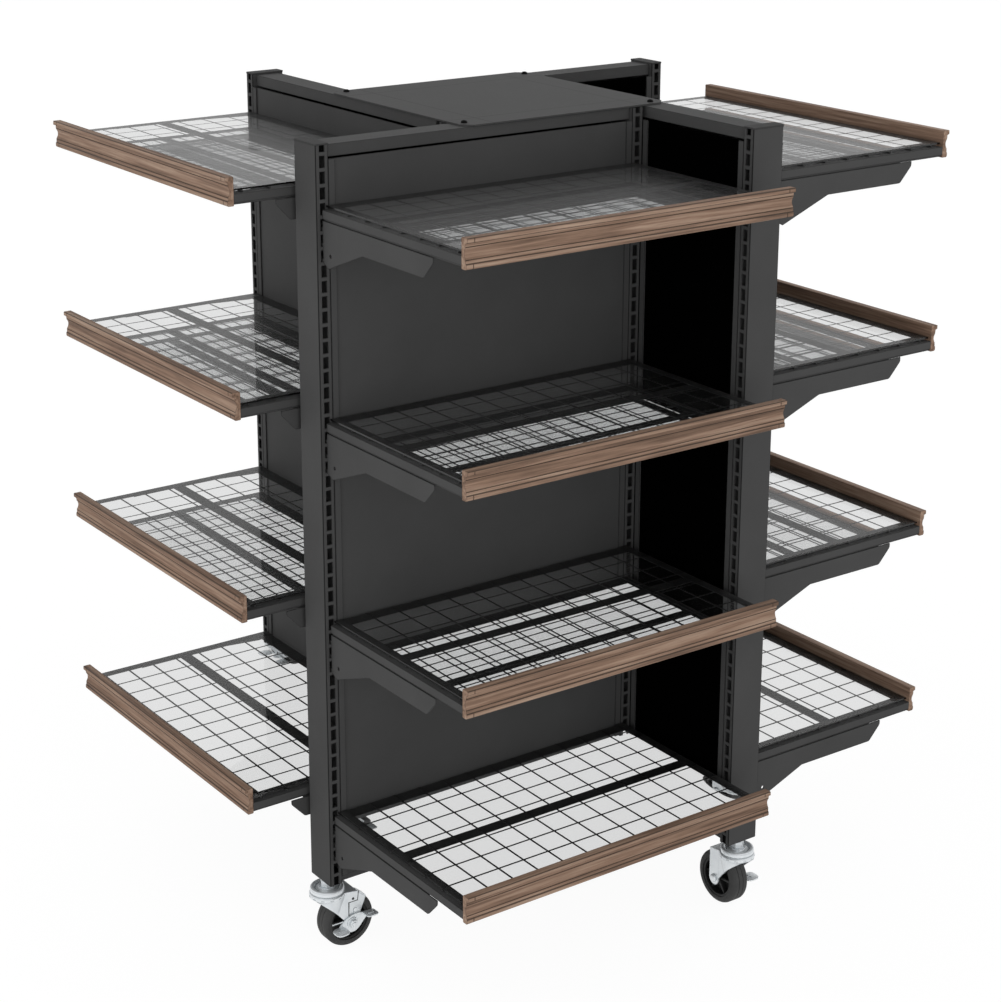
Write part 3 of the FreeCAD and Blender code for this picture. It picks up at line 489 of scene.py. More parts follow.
def blank(name, build, look):        # an object for a tree to repeat
    return linked(name, localMesh(name, build, look))


def evaluatedMesh(holder):
    view = bpy.context.evaluated_depsgraph_get()
    mesh = bpy.data.meshes.new_from_object(holder.evaluated_get(view), depsgraph=view)
    bpy.data.objects.remove(holder)
    return mesh


def smoothed(mesh, turn):
    mesh.shade_smooth()
    mesh.set_sharp_from_angle(angle=math.radians(turn))
    return mesh


def localMesh(name, build, look):
    bm = bmesh.new()
    build(bm, look)
    bmesh.ops.recalc_face_normals(bm, faces=bm.faces)
    mesh = bpy.data.meshes.new(name)
    bm.to_mesh(mesh)
    bm.free()
    turn = look.get("smoothTurn", smoothTurn)
    if "easing" in look:        # small rounding along every sharp edge
        holder = linked(name + "Holder", mesh)
        rounding = holder.modifiers.new("rounding", "BEVEL")
        rounding.width = look["easing"]
        rounding.segments = 2
        rounding.limit_method = "ANGLE"
        rounding.angle_limit = math.radians(turn)
        mesh = evaluatedMesh(holder)
    return smoothed(mesh, turn)


def addPiece(name, mesh, place, materials, body, slot, *replaced):
    mesh = mesh.copy()
    mesh.transform(place)
    for material in materials:        # none for a tree's mesh, which has its own
        mesh.materials.append(material)
    piece = linked(name, mesh)
    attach(piece, body)
    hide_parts(*replaced)


# Casters, with the stem on the Z axis and the wheel trailing along +X
tyreLow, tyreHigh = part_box("front_caster_tyre")
axleAt = (tyreLow + tyreHigh) / 2
casterTrail = 0.035
stemAt = Vector((axleAt.x - casterTrail, axleAt.y, 0))
axleCentre = (casterTrail, 0, axleAt.z)


def casterPlace(side):
    return quarterTurn(side) @ Matrix.Translation(stemAt)


forkLook = {        # of a mark: how far it sinks in and stands out, and its skin
    "sheet": 0.0025, "flat": 0.024, "legFlat": 0.0228, "skirt": 0.0318, "skirtLow": 0.105, "coneLow": 0.058,
    "flare": 1.5, "overFlat": 1.0005, "axle": (casterTrail, axleAt.z), "endRound": 0.013,
    "endTurns": (8, -87), "curveSteps": 39, "levelSteps": (22, 12), "coneSteps": 12, "leastShare": 0.1,
    "frontCurve": ((-0.03, 0.105), (0.003, 0.08), (0.0224, 0.053)),        # start, pull and end, in x and z
    "flatColumns": (0.04, 0.5, 1), "lowColumns": (0, 0.5, 1), "leastTurn": 0.02, "leastRun": 0.0003,
    "brakeStep": 0.0297, "tabStep": 0.0485, "tabLow": 0.089, "plainStep": 0.022, "plainBack": 0.048,
    "stepRun": 0.0006, "backLip": 0.0015, "wingSlope": 0.425, "wingTop": (0.065, 0.0935), "wingFall": 1.29,
    "topPath": ((0.012, 0.1113), (0.026, 0.1108), (0.0475, 0.1076)), "topPlay": 0.0004, "stripPlay": 0.0002,
    "wingPath": ((0.0465, 0.1078), (0.053, 0.1042), (0.064, 0.095), (0.0652, 0.0925)),
    "wingInside": -0.008, "slotRib": ((0.043, 0.06, 0.0712), 0.0036),
    "ribMark": (0.0005, 0.0009, 0), "pinHole": ((0.0385, 0.0945), 0.0024, 16), "pinShadeMark": (0.001, 0.0002, 1),
    "seam": ((0.0292, 0.057), (0.0297, 0.0893), (0.0475, 0.089), (0.05, 0.1062)), "seamWide": 0.0012,
    "seamShadeMark": (0.0012, 0.00015, 1), "crimps": 12, "crimpLevel": 0.107, "crimpHalf": (0.0026, 0.0006),
    "crimpMark": (0.001, 0.0003), "headSides": 64,
    "head": ((0.0062, 0.1175), (0.0215, 0.1175), (0.0224, 0.1182), (0.0226, 0.121), (0.0238, 0.1222),
             (0.0262, 0.1227), (0.0287, 0.1221), (0.0299, 0.1206), (0.0301, 0.1142), (0.0288, 0.113),
             (0.0289, 0.1118), (0.0306, 0.111), (0.0316, 0.1099), (0.0318, 0.108), (0.0318, 0.105),
             (0.0293, 0.105), (0.0293, 0.112), (0.027, 0.115), (0.0062, 0.115)),
}


def forkTopLevel(look, x):        # the bent top behind the head, which the legs reach up to
    xs, zs = zip(*look["topPath"], *look["wingPath"][1:])
    return float(np.interp(x, xs, zs))


def legLevels(look):        # from the skirt down, then round the lower end
    upper, lower = look["levelSteps"]
    first, last = (math.radians(turn) for turn in look["endTurns"])
    levels = list(np.linspace(look["skirtLow"], look["frontCurve"][-1][1], upper))
    centre = look["axle"][1]
    return levels + [centre + look["endRound"] * math.sin(turn) for turn in np.linspace(first, last, lower)]


def legEdges(look, brakeSide, z):        # front and back of a leg at a level
    axleX, axleZ = look["axle"]
    end = look["endRound"]
    reach = math.sqrt(max(end ** 2 - (z - axleZ) ** 2, 0))
    front, back = axleX - reach, axleX + reach
    if z >= look["frontCurve"][-1][1]:
        curve = pulledCurve(*(Vector(point) for point in look["frontCurve"]), look["curveSteps"])
        xs, zs = zip(*curve[::-1])
        front = float(np.interp(z, zs, xs))
    if z >= axleZ:
        back = axleX + end + look["wingSlope"] * (z - axleZ) if brakeSide else look["plainBack"]
    if brakeSide:
        wingX, wingZ = look["wingTop"]
        back = min(back, wingX - max(z - wingZ, 0) * look["wingFall"])
    return front, back


def legRow(look, brakeSide, z):        # x, y of the outer face and the way to the inner one
    front, back = legEdges(look, brakeSide, z)
    flat, step = look["flat"], look["plainStep"]
    if brakeSide:
        step = look["brakeStep"] if z < look["tabLow"] else look["tabStep"]
    rise = min(max((z - look["coneLow"]) / (look["skirtLow"] - look["coneLow"]), 0), 1)
    radius = flat * look["overFlat"] + (look["skirt"] - flat) * rise ** look["flare"]
    least = min(look["leastRun"], (back - front) * look["leastShare"])
    bend = max(front + least, math.sqrt(radius ** 2 - flat ** 2))
    stepped = max(bend + least, min(step, back - look["backLip"]))
    lowered = max(stepped + least, min(stepped + look["stepRun"], back - least))
    startTurn = math.acos(min(max(-front / radius, -1), 1))
    endTurn = math.pi - math.asin(flat / radius)
    row = []
    for t in np.linspace(0, 1, look["coneSteps"]):
        turn = startTurn + (endTurn - startTurn) * t
        outX, outY = -math.cos(turn), math.sin(turn)
        if startTurn < endTurn - look["leastTurn"]:
            row.append((radius * outX, radius * outY, outX, outY))
        else:
            row.append((front + (bend - front) * t, flat, 0, 1))
    row += [(bend + (stepped - bend) * t, flat, 0, 1) for t in look["flatColumns"]]
    return row + [(lowered + (back - lowered) * t, look["legFlat"], 0, 1) for t in look["lowColumns"]]


def legRows(look, brakeSide):
    sign = -1 if brakeSide else 1
    inset, behind = look["sheet"], look["coneSteps"]
    outer, inner = [], []
    for number, z in enumerate(legLevels(look)):
        row = legRow(look, brakeSide, z)
        tops = [z] * len(row)
        if number == 0:        # behind the head the leg reaches up to the bent top
            tops[behind:] = [forkTopLevel(look, x) - look["topPlay"] for x, *rest in row[behind:]]
        outer.append([(x, sign * y, top) for (x, y, outX, outY), top in zip(row, tops)])
        inner.append([(x - outX * inset, sign * (y - outY * inset), top)
                      for (x, y, outX, outY), top in zip(row, tops)])
    return outer, inner


def bentStrip(bm, path, left, right, sheet):        # sheet strip that follows a path in x and z
    outer, inner = [], []
    for i, (x, z) in enumerate(path):
        before, after = Vector(path[max(i - 1, 0)]), Vector(path[min(i + 1, len(path) - 1)])
        along = (after - before).normalized()
        under = (x + along.y * sheet, z - along.x * sheet)
        outer.append([(x, left, z), (x, right, z)])
        inner.append([(under[0], left, under[1]), (under[0], right, under[1])])
    shell(bm, outer, inner)


def markLeg(bm, outline, face, mark):        # a mark on the brake side's leg
    sink, rise, skin = mark
    cutPlate(bm, outline, sink - face, -face - rise, sideOn, skin)


def buildFork(bm, look):
    lathe(bm, look["head"], "Z", look["headSides"])
    for brakeSide in (True, False):
        shell(bm, *legRows(look, brakeSide))
    half = look["flat"] - look["stripPlay"]
    bentStrip(bm, look["topPath"], -half, half, look["sheet"])
    bentStrip(bm, look["wingPath"], -half, look["wingInside"], look["sheet"])
    (x, low, high), radius = look["slotRib"]
    rib = rectangle(x - radius, low - radius, x + radius, high + radius)
    markLeg(bm, roundedOutline(rib, radius, 6), look["legFlat"], look["ribMark"])
    # painted shade: a thin black disc stands for the dark pin hole
    markLeg(bm, circleOutline(*look["pinHole"]), look["flat"], look["pinShadeMark"])
    seam = ribbonOutline(look["seam"], look["seamWide"])        # where the brake's plate overlaps the leg; its black skin is a painted shadow line along the overlap
    markLeg(bm, seam, look["flat"], look["seamShadeMark"])
    halfLong, halfHigh = look["crimpHalf"]
    level = look["crimpLevel"]
    crimp = roundedOutline(rectangle(-halfLong, level - halfHigh, halfLong, level + halfHigh), halfHigh, 2)
    sink, rise = look["crimpMark"]
    for number in range(look["crimps"]):
        turn = 2 * math.pi * (number + 0.5) / look["crimps"]

        def roundSkirt(a, b, radius, across=math.cos(turn), up=math.sin(turn)):
            return Vector((across * radius - up * a, up * radius + across * a, b))

        cutPlate(bm, crimp, look["skirt"] - sink, look["skirt"] + rise, roundSkirt)


axleLook = {
    "radius": 0.004, "sides": 32, "easing": 0.0003, "chamfer": 0.0008, "play": 0.0002, "tip": -0.0362,
    "nut": (-0.0302, -0.0346), "nutRadius": 0.008, "washer": (0.0088, 0.0012), "washerGap": 0.0001,
    "head": ((0, 0.0285), (0.0035, 0.0284), (0.006, 0.0277), (0.0073, 0.0262), (0.0075, 0.0236),
             (0.004, 0.0236)),
}


def buildAxle(bm, look):
    radius, tip, chamfer = look["radius"], look["tip"], look["chamfer"]
    inner, outer = look["nut"]
    shaft = [(radius, inner), (radius, tip + chamfer), (radius - chamfer, tip), (0, tip)]
    lathe(bm, list(look["head"]) + shaft, "Y", look["sides"], axleCentre)
    bore, wide = radius + look["play"], look["nutRadius"]
    nut = [(bore, inner), (wide, inner), (wide, outer + chamfer), (wide - chamfer, outer), (bore, outer)]
    lathe(bm, nut, "Y", 6, axleCentre)
    rim, thick = look["washer"]
    washer = rectangle(bore, inner + look["washerGap"], rim, inner + thick)
    lathe(bm, washer[::-1], "Y", look["sides"], axleCentre)


brakeLook = {
    "sheet": (-0.0269, -0.0244), "cornerRound": 0.003, "easing": 0.0005, "bossSides": 40,
    "boss": ((0.0045, -0.0269), (0.0106, -0.0269), (0.0106, -0.0282), (0.0098, -0.0289), (0.0092, -0.029),
             (0.0045, -0.029)),
    "outline": ((0.013, 0.0535), (0.024, 0.0605), (0.035, 0.065), (0.045, 0.0655), (0.056, 0.0635),
                (0.067, 0.0635), (0.0675, 0.057), (0.057, 0.046), (0.0505, 0.0385), (0.044, 0.033),
                (0.0385, 0.0312), (0.0305, 0.0312), (0.024, 0.038), (0.019, 0.043), (0.007, 0.0415),
                (0.0075, 0.0475)),
    "treadTab": {"ends": (-0.0085, 0.0175), "level": 0.0455, "slope": 0.05, "tip": -0.0525, "round": 0.011},
    "raisedTab": {"ends": (0.056, 0.0795), "level": 0.061, "slope": 0.0, "tip": -0.046, "round": 0.006},
    "tabRoot": -0.025, "tabSheet": 0.0025, "rib": (0.012, 0.0042), "ribMark": (0.0004, 0.0009),
    "tongue": (-0.006, 0.055, 0.017, 0.0575), "tongueRound": 0.0012, "tongueIn": 0.0008,
}


def buildBrake(bm, look):
    low, high = look["sheet"]
    cutPlate(bm, roundedOutline(look["outline"], look["cornerRound"], 3), high, low, sideOn)
    lathe(bm, look["boss"], "Y", look["bossSides"], axleCentre)
    halfLong, halfWide = (size / 2 for size in look["rib"])
    sink, rise = look["ribMark"]
    for tab in (look["treadTab"], look["raisedTab"]):
        left, right = tab["ends"]
        near, far = tab["tip"], look["tabRoot"]
        top = tab["level"] + look["tabSheet"]

        def sloped(a, b, height, end=right, slope=tab["slope"]):
            return Vector((a, b, height + slope * (a - end)))

        plate = roundedOutline(rectangle(left, near, right, far), tab["round"], 5)
        cutPlate(bm, plate, tab["level"], top, sloped)
        middle, across = (left + right) / 2, (near + far) / 2
        rib = rectangle(middle - halfLong, across - halfWide, middle + halfLong, across + halfWide)
        cutPlate(bm, roundedOutline(rib, halfWide, 5), top - sink, top + rise, sloped)
    tongue = roundedOutline(rectangle(*look["tongue"]), look["tongueRound"], 3)
    cutPlate(bm, tongue, high, low + look["tongueIn"], sideOn)


stemLook = {
    "turned": ((0, 0.1116), (0.0086, 0.1116), (0.009, 0.1121), (0.009, 0.1146), (0.006, 0.1146),
               (0.006, 0.1179), (0.0203, 0.1179), (0.0206, 0.1186), (0.0203, 0.1198), (0.0152, 0.1203),
               (0.014, 0.1212), (0.0138, 0.1228), (0.006, 0.1228), (0.006, 0.161), (0, 0.161)),
    "sides": 48, "chamfer": 0.001, "nut": (6, 0.0062, 0.0118, 0.1229, 0.135),
    "washer": (40, 0.0062, 0.0126, 0.1351, 0.1374),        # sides, inner and outer radius, low and high
}


def buildStems(bm, look):
    chamfer = look["chamfer"]
    for side in range(len(sideNames)):
        first = len(bm.verts)
        lathe(bm, look["turned"], "Z", look["sides"])
        for sides, inner, outer, low, high in (look["nut"], look["washer"]):
            lathe(bm, [(inner, low), (outer - chamfer, low), (outer, low + chamfer), (outer, high - chamfer),
                       (outer - chamfer, high), (inner, high)], "Z", sides)
        bm.verts.ensure_lookup_table()
        bmesh.ops.transform(bm, matrix=casterPlace(side), verts=bm.verts[first:])


# Geometry Nodes helpers
def newTree(name, values, build):        # inputs named and typed as the values; build gives the geometry
    inputs = {label: (type(value).__name__.title(), None) for label, value in values.items()}
    tree, given, made = newGroup(name, inputs, {"Geometry": "Geometry"}, "GeometryNodeTree")
    real = addNode(tree, "GeometryNodeRealizeInstances", {"Geometry": build(tree, given)}).outputs[0]
    painted = {"Geometry": real, "Material": given["Material"]}
    tree.links.new(addNode(tree, "GeometryNodeSetMaterial", painted).outputs[0], made["Geometry"])
    return tree


def joined(tree, parts):
    join = addNode(tree, "GeometryNodeJoinGeometry")
    for part in parts:
        tree.links.new(part, join.inputs["Geometry"])
    return join.outputs["Geometry"]


def objectGeometry(tree, item):
    return addNode(tree, "GeometryNodeObjectInfo", {"Object": item}).outputs["Geometry"]


def instances(tree, points, item, turn=(0, 0, 0)):
    inputs = {"Points": points, "Instance": item, "Rotation": turn}
    return addNode(tree, "GeometryNodeInstanceOnPoints", inputs).outputs["Instances"]


def moved(tree, geometry, turn, shift=(0, 0, 0)):
    inputs = {"Geometry": geometry, "Rotation": turn, "Translation": shift}
    return addNode(tree, "GeometryNodeTransform", inputs).outputs["Geometry"]


def rowOf(tree, count, start, offset, item):        # copies of a mesh along a line
    inputs = {"Count": count, "Start Location": start, "Offset": offset}
    return instances(tree, addNode(tree, "GeometryNodeMeshLine", inputs).outputs["Mesh"], item)


def treeMesh(name, tree, values):        # runs a tree with its named inputs and keeps the plain mesh
    holder = linked(name + "Holder", bpy.data.meshes.new(name))
    modifier = holder.modifiers.new(name, "NODES")
    modifier.node_group = tree
    for item in tree.interface.items_tree:
        if item.in_out == "INPUT":
            modifier[item.identifier] = values[item.name]
    return smoothed(evaluatedMesh(holder), smoothTurn)


# Wheel hubs: a turned body and the spokes round it
wheelLook = {
    "spokes": 6, "sides": 64,
    "halfBody": ((0.00405, 0.018), (0.0085, 0.018), (0.01, 0.0165), (0.0104, 0.003), (0.033, 0.0022),
                 (0.033, 0.015), (0.034, 0.016), (0.038, 0.016)),        # radius, and half width there
    "spokeRoot": (0.0096, 0.003, 0.014),        # radius, half width and half depth
    "spokeTip": (0.0334, 0.0019, 0.0118), "spokeRound": 0.6,
}


def buildHubBody(bm, look):
    half = look["halfBody"]
    lathe(bm, [(radius, -wide) for radius, wide in half] + list(half[::-1]), "Y", look["sides"])


def buildSpoke(bm, look):
    ends = []
    for reach, wide, deep in (look["spokeRoot"], look["spokeTip"]):
        corners = roundedOutline(rectangle(-wide, -deep, wide, deep), wide * look["spokeRound"], 2)
        ends.append([bm.verts.new((reach, y, x)) for x, y in corners])
    prism(bm, *ends)


def spokedHub(tree, given):
    line = addNode(tree, "GeometryNodeMeshLine", {"Count": given["Count"], "Offset": (0, 0, 0)})
    index = addNode(tree, "GeometryNodeInputIndex").outputs[0]
    part = maths(tree, "DIVIDE", index, given["Count"])
    turn = vector(tree, y=maths(tree, "MULTIPLY", part, 2 * math.pi))
    spokes = instances(tree, line.outputs["Mesh"], objectGeometry(tree, given["Spoke"]), turn)
    return joined(tree, [objectGeometry(tree, given["Body"]), spokes])


def hubMesh(look):
    body = blank("hubBody", buildHubBody, look)
    spoke = blank("hubSpoke", buildSpoke, look)
    values = {"Body": body, "Spoke": spoke, "Count": look["spokes"], "Material": finishes["black_hub"]}
    mesh = treeMesh("spokedHub", newTree("spokedHub", values, spokedHub), values)
    for helper in (body, spoke):
        bpy.data.objects.remove(helper)
    mesh.transform(Matrix.Translation(axleCentre))
    return mesh


zinc = [finishes["zinc"]]
casterParts = (        # part, mesh, materials, body and slot
    ("fork", localMesh("fork", buildFork, forkLook), zinc + [finishes["black_hub"]], "caster", "zinc"),
    ("axle", localMesh("axle", buildAxle, axleLook), zinc, "caster", "zinc"),
    ("brake", localMesh("brake", buildBrake, brakeLook), zinc, "brake", "zinc"),
    ("hub", hubMesh(wheelLook), [], "wheel", "black_hub"),
)
for side, sideName in enumerate(sideNames):
    for part, mesh, materials, body, slot in casterParts:
        addPiece(sideName + "Caster" + part.title(), mesh, casterPlace(side), materials,
                 sideName + "_" + body, slot, sideName + "_caster_" + part)
stemMesh = localMesh("stems", buildStems, stemLook)
addPiece("casterStems", stemMesh, Matrix(), zinc, "root", "zinc", "caster_stems")
print("casters made")

# Wire decks: wires both ways and a weld at each crossing, one mesh for each bay
deckLook = {        # named as the tree's inputs
    "Pitch": 0.0508, "Wire": 0.004, "Cross First": 0.063, "Long First": 0.0643, "End Short": 0.001,
    "Cross Count": 11, "Long Count": 7, "Sides": 8, "Weld": 0.0031,
}


def wireRod(tree, radius, length, sides, turn):
    inputs = {"Vertices": sides, "Radius": radius, "Depth": length}
    return moved(tree, addNode(tree, "GeometryNodeMeshCylinder", inputs).outputs["Mesh"], turn)


def wireDeck(tree, given):
    half = maths(tree, "MULTIPLY", given["Wire"], 0.5)
    longLevel = maths(tree, "SUBTRACT", given["Level"], half)
    crossLevel = maths(tree, "SUBTRACT", longLevel, given["Wire"])
    crossX = maths(tree, "ADD", given["Left"], given["Cross First"])
    crossY = maths(tree, "SUBTRACT", given["Back"], maths(tree, "MULTIPLY", given["Depth"], 0.5))
    longX = maths(tree, "ADD", given["Left"], maths(tree, "MULTIPLY", given["Length"], 0.5))
    longY = maths(tree, "SUBTRACT", given["Back"], given["Long First"])
    across = vector(tree, x=given["Pitch"])
    along = vector(tree, y=maths(tree, "MULTIPLY", given["Pitch"], -1.0))
    crossRod = wireRod(tree, half, given["Depth"], given["Sides"], (math.pi / 2, 0, 0))
    longLength = maths(tree, "SUBTRACT", given["Length"], maths(tree, "MULTIPLY", given["End Short"], 2.0))
    longRod = wireRod(tree, half, longLength, given["Sides"], (0, math.pi / 2, 0))
    crossWires = rowOf(tree, given["Cross Count"], vector(tree, crossX, crossY, crossLevel), across, crossRod)
    longWires = rowOf(tree, given["Long Count"], vector(tree, longX, longY, longLevel), along, longRod)
    bead = addNode(tree, "GeometryNodeMeshIcoSphere", {"Radius": given["Weld"], "Subdivisions": 1})
    weldLevel = maths(tree, "SUBTRACT", longLevel, half)
    weldRow = rowOf(tree, given["Cross Count"], (0, 0, 0), across, bead.outputs["Mesh"])
    welds = rowOf(tree, given["Long Count"], vector(tree, crossX, longY, weldLevel), along, weldRow)
    deck = joined(tree, [crossWires, longWires, welds])
    stack = rowOf(tree, given["Shelf Count"], (0, 0, 0), vector(tree, z=given["Shelf Step"]), deck)
    return moved(tree, stack, vector(tree, z=given["Turn"]))


def makeDecks(look):
    low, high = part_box("front_shelf_liners")
    values = {**look, "Left": low.x, "Back": high.y, "Length": high.x - low.x, "Depth": high.y - low.y,
              "Level": 0.0, "Turn": 0.0, "Shelf Step": shelfStep, "Shelf Count": shelfCount,
              "Material": finishes["charcoal_metal"]}
    tree = newTree("wireDeck", values, wireDeck)
    for side, sideName in enumerate(sideNames):
        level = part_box(sideName + "_shelf_liners")[0].z
        mesh = treeMesh("wireDeck", tree, {**values, "Level": level, "Turn": math.radians(90 * side)})
        addPiece(sideName + "WireDecks", mesh, Matrix(), [], "root", "charcoal_metal",
                 sideName + "_deck_wires")


makeDecks(deckLook)
print("wire decks made")

# Plate screws: button heads with a six-sided socket
plateScrewLook = {
    "at": (-0.2, -0.18875), "head": 0.0055, "rise": 0.0042, "shank": 0.0025, "length": 0.008,
    "crown": ((1.0, 0.0), (1.0, 0.25), (0.93, 0.62), (0.72, 0.9), (0.5, 1.0)),        # shares of head, rise
    "socket": 0.0021, "socketDepth": 0.0014, "count": 4, "sides": 24,
}


def buildScrew(bm, look):        # the socket's six sides step out to the round head
    head, rise, shank, sides = look["head"], look["rise"], look["shank"], look["sides"]
    turns = [2 * math.pi * step / sides for step in range(sides)]
    sixth = math.pi / 3
    flats = look["socket"] * math.cos(sixth / 2)
    hexagon = [flats / math.cos(turn % sixth - sixth / 2) for turn in turns]
    rounds = [(0.0, -look["length"]), (shank, -look["length"]), (shank, 0.0)]
    rounds += [(head * across, rise * up) for across, up in look["crown"]]
    rings = [([radius] * sides, level) for radius, level in rounds]
    floor = rise - look["socketDepth"]
    rings += [(hexagon, rise), (hexagon, floor), ([0.0] * sides, floor)]
    verts = []
    for radii, level in rings:
        if radii[0] == 0.0:        # the whole ring is one point
            verts.append([bm.verts.new((0, 0, level))] * sides)
            continue
        places = [(r * math.cos(turn), r * math.sin(turn), level) for r, turn in zip(radii, turns)]
        verts.append([bm.verts.new(place) for place in places])
    for lower, upper in zip(verts, verts[1:]):
        for step in range(sides):
            other = (step + 1) % sides
            bm.faces.new(list(dict.fromkeys((lower[step], lower[other], upper[other], upper[step]))))


def screwRing(tree, given):
    ring = addNode(tree, "GeometryNodeMeshCircle", {"Vertices": given["Count"], "Radius": given["Reach"]})
    places = moved(tree, ring.outputs["Mesh"], vector(tree, z=given["Start"]), vector(tree, z=given["Level"]))
    return instances(tree, places, objectGeometry(tree, given["Screw"]))


def makePlateScrews(look):
    screw = blank("screwBlank", buildScrew, look)
    x, y = look["at"]
    values = {"Screw": screw, "Count": look["count"], "Reach": math.hypot(x, y), "Start": math.atan2(y, x),
              "Level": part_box("top_plate")[1].z, "Material": finishes["black_screw"]}
    mesh = treeMesh("plateScrews", newTree("screwRing", values, screwRing), values)
    bpy.data.objects.remove(screw)
    addPiece("plateScrews", mesh, Matrix(), [], "root", "black_screw", "plate_screws")


makePlateScrews(plateScrewLook)
print("plate screws made")

# Wooden fascias: nosing, band, cove, band and foot, with fine grooves between them
fasciaLook = {
    "noseHigh": 0.007, "noseRound": 0.0014, "noseMid": 0.3, "bandIn": 0.0045, "quirk": 0.0018,
    "bandHigh": 0.0046, "coveDeep": 0.0035, "coveSteps": 10, "footHigh": 0.0075, "footIn": 0.003,
    "footRound": 0.003, "footSteps": 4, "grooveWide": 0.0013, "grooveDeep": 0.0008, "backRound": 0.001,
    "blockLong": 0.013, "margin": 0.0001, "smoothTurn": 30.0,
}


def fasciaOutline(look, deep, high):        # depth from the front, drop from the top, and if the face that follows gets painted shade
    band, grooveShade, back = look["bandIn"], look["grooveWide"], look["backRound"]
    quirk, dip, foot = look["quirk"], look["grooveDeep"], look["footRound"]
    noseLow, footTop = look["noseHigh"], high - look["footHigh"]
    coveTop = noseLow + quirk + look["bandHigh"] + grooveShade
    coveLow = footTop - quirk - look["bandHigh"] - grooveShade
    turn = look["noseRound"]
    middle = look["noseMid"] * turn
    points = [(deep - back, 0, False), (turn, 0, True), (middle, middle, True), (0, turn, False),
              (0, noseLow, True), (band, noseLow + quirk, False), (band, coveTop - grooveShade, True),
              (band + dip, coveTop - grooveShade / 2, True)]
    for t in np.linspace(0, 1, look["coveSteps"] + 1):
        points.append((band + look["coveDeep"] * 4 * t * (1 - t), coveTop + (coveLow - coveTop) * t, t == 1))
    points += [(band + dip, coveLow + grooveShade / 2, True), (band, coveLow + grooveShade, False),
               (band, footTop - quirk, True), (look["footIn"], footTop, False)]
    for angle in np.linspace(0, math.pi / 2, look["footSteps"] + 1):
        points.append((look["footIn"] + foot * (1 - math.cos(angle)),
                       high - foot * (1 - math.sin(angle)), False))
    points += [(deep - back, high, False), (deep, high - back, False), (deep, back, False)]
    return [(float(x), float(z), marked) for x, z, marked in points]


def buildFascias(bm, look):        # the front bay's, lowest first
    low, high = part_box("front_fascias")
    tall = high.z - low.z - shelfStep * (shelfCount - 1)
    outline = fasciaOutline(look, high.y - low.y, tall)
    # painted shade: marked faces are drawn dark, along the top front edge, the quirks and the grooves
    mark = bm.faces.layers.float.new("grooveShade")
    half, block = look["grooveWide"] / 2, look["blockLong"]
    stations = [(low.x, 0)]
    for joint in (low.x + block, high.x - block):        # a joint's groove dips in the nosing and the foot
        stations += [(joint - half, 0), (joint, look["grooveDeep"]), (joint + half, 0)]
    stations.append((high.x, 0))

    def proud(deep, drop):        # on the nosing or the foot
        return 0 < drop < tall and deep < look["bandIn"] - look["margin"]

    for shelf in range(shelfCount):
        top = low.z + tall + shelfStep * shelf
        rings = []
        for x, dip in stations:
            places = [(x, low.y + deep + (dip if proud(deep, drop) else 0), top - drop)
                      for deep, drop, marked in outline]
            rings.append([bm.verts.new(place) for place in places])
        for s, (ring, other) in enumerate(zip(rings, rings[1:])):
            dips = stations[s][1] + stations[s + 1][1] > 0
            for i, (deep, drop, marked) in enumerate(outline):
                j = (i + 1) % len(outline)
                face = bm.faces.new((ring[i], ring[j], other[j], other[i]))
                # painted shade also on the nosing and foot beside a joint's dip
                front = proud(max(deep, outline[j][0]), drop)
                face[mark] = 1.0 if marked or (dips and front) else 0.0
        bm.faces.new(rings[0])
        bm.faces.new(rings[-1][::-1])


def makeFascias(look):
    mesh = localMesh("fascias", buildFascias, look)
    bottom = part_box("front_fascias")[0].z
    for side, sideName in enumerate(sideNames):
        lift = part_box(sideName + "_fascias")[0].z - bottom
        place = quarterTurn(side) @ Matrix.Translation((0, 0, lift))
        wood = [woods[side % 2]]
        addPiece(sideName + "Fascias", mesh, place, wood, "root", "walnut", sideName + "_fascias")


makeFascias(fasciaLook)
print("fascias made")

# Stage, light and camera
stageLook = {"reach": 14.0, "floorColour": grey(0.82), "floorRoughness": 0.9, "seenColour": grey(0.12),
             "seenGlow": 0.94, "horizon": 1.05, "zenith": 0.3}
lamps = {
    "frontLamp": {"at": (-1.2, -4.6, 0.9), "size": 2.5, "power": 34.0},
    "leftLamp": {"at": (-4.6, -0.5, 0.9), "size": 2.5, "power": 28.0},
}
cameraView = {"at": (-2.271873, -3.186652, 2.07457), "yaw": 35.0243, "pitch": 16.6407, "sensor": 36.0,
              "focalPixels": 2211.96, "imageSize": (1001, 1002), "axisPixel": (478.45, 387.07)}


def seenWhite(tree):        # camera rays, and those by way of mirror-like faces or the clear sheets
    ray = addNode(tree, "ShaderNodeLightPath").outputs
    return ray["Is Camera Ray"], maths(tree, "MAXIMUM", ray["Is Glossy Ray"], ray["Is Transmission Ray"])


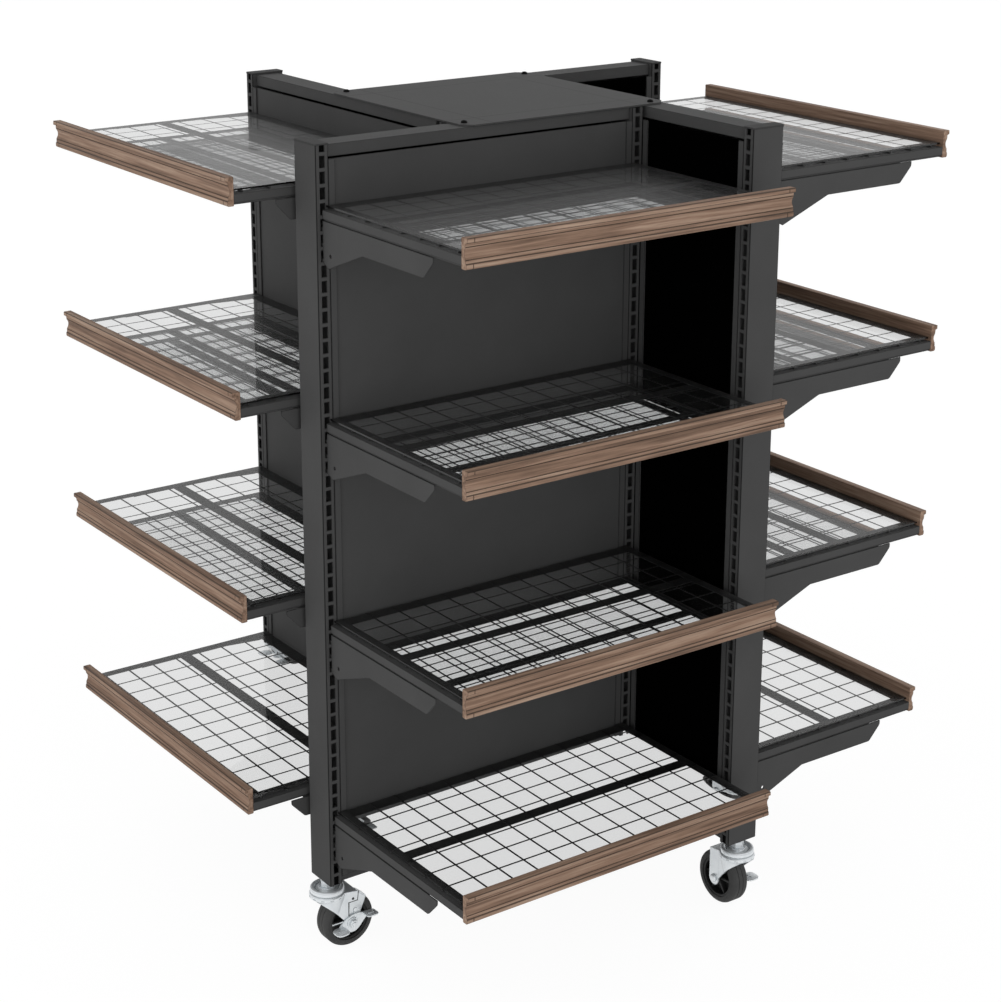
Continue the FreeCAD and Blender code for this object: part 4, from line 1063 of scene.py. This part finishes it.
def makeFloor(look):
    mesh = bpy.data.meshes.new("floor")
    reach = look["reach"]
    corners = [(x, y, 0) for x, y in rectangle(-reach, -reach, reach, reach)]
    mesh.from_pydata(corners, [], [(0, 1, 2, 3)])
    floor = linked("floor", mesh)
    material, tree, shader = newMaterial("paleFloor")
    direct, clear = seenWhite(tree)
    colour = mixColour(tree, direct, look["floorColour"], look["seenColour"])
    setInputs(tree, shader, {"Base Color": mixColour(tree, clear, colour, grey(0)),
                             "Roughness": look["floorRoughness"], "Specular IOR Level": 0.0})
    glow = maths(tree, "MAXIMUM", maths(tree, "MULTIPLY", direct, look["seenGlow"]), clear)
    white = addNode(tree, "ShaderNodeEmission", {"Strength": glow}).outputs[0]
    setSurface(tree, addNode(tree, "ShaderNodeAddShader", {0: shader.outputs[0], 1: white}).outputs[0])
    mesh.materials.append(material)


def makeWorld(look):        # white where it is seen, and softer overhead where it lights
    world = bpy.data.worlds.new("studio")
    world.use_nodes = True
    tree = world.node_tree
    direct, clear = seenWhite(tree)
    height = axesOf(tree, addNode(tree, "ShaderNodeTexCoord").outputs["Generated"])["Z"]
    light = spread(tree, height, 0.0, 1.0, look["horizon"], look["zenith"])
    seen = maths(tree, "MAXIMUM", direct, clear)
    strength = addNode(tree, "ShaderNodeMix", {0: seen, 2: light, 3: 1.0}).outputs[0]
    setInputs(tree, tree.nodes["Background"], {"Color": grey(1), "Strength": strength})
    scene.world = world


def makeLamp(name, setting, target):
    light = bpy.data.lights.new(name, "AREA")
    light.energy = setting["power"]
    light.size = setting["size"]
    lamp = linked(name, light)
    lamp.location = setting["at"]
    lamp.rotation_euler = (target - lamp.location).to_track_quat("-Z", "Y").to_euler()
    lamp.visible_glossy = False
    lamp.visible_transmission = False


def makeCamera(view):
    data = bpy.data.cameras.new("camera")
    camera = linked("camera", data)
    wide, high = view["imageSize"]
    longSide = max(wide, high)
    data.sensor_width = view["sensor"]
    data.lens = view["focalPixels"] * view["sensor"] / longSide
    data.shift_x = (wide / 2 - view["axisPixel"][0]) / longSide
    data.shift_y = (view["axisPixel"][1] - high / 2) / longSide
    yaw, pitch = math.radians(view["yaw"]), math.radians(view["pitch"])
    ahead = Vector((math.sin(yaw) * math.cos(pitch), math.cos(yaw) * math.cos(pitch), -math.sin(pitch)))
    camera.location = view["at"]
    camera.rotation_euler = ahead.to_track_quat("-Z", "Y").to_euler()
    scene.camera = camera


makeFloor(stageLook)
makeWorld(stageLook)
for lampName, setting in lamps.items():
    makeLamp(lampName, setting, (cadBox[0] + cadBox[1]) / 2)
makeCamera(cameraView)
scene.view_settings.view_transform = "Standard"
print("stage and camera set")
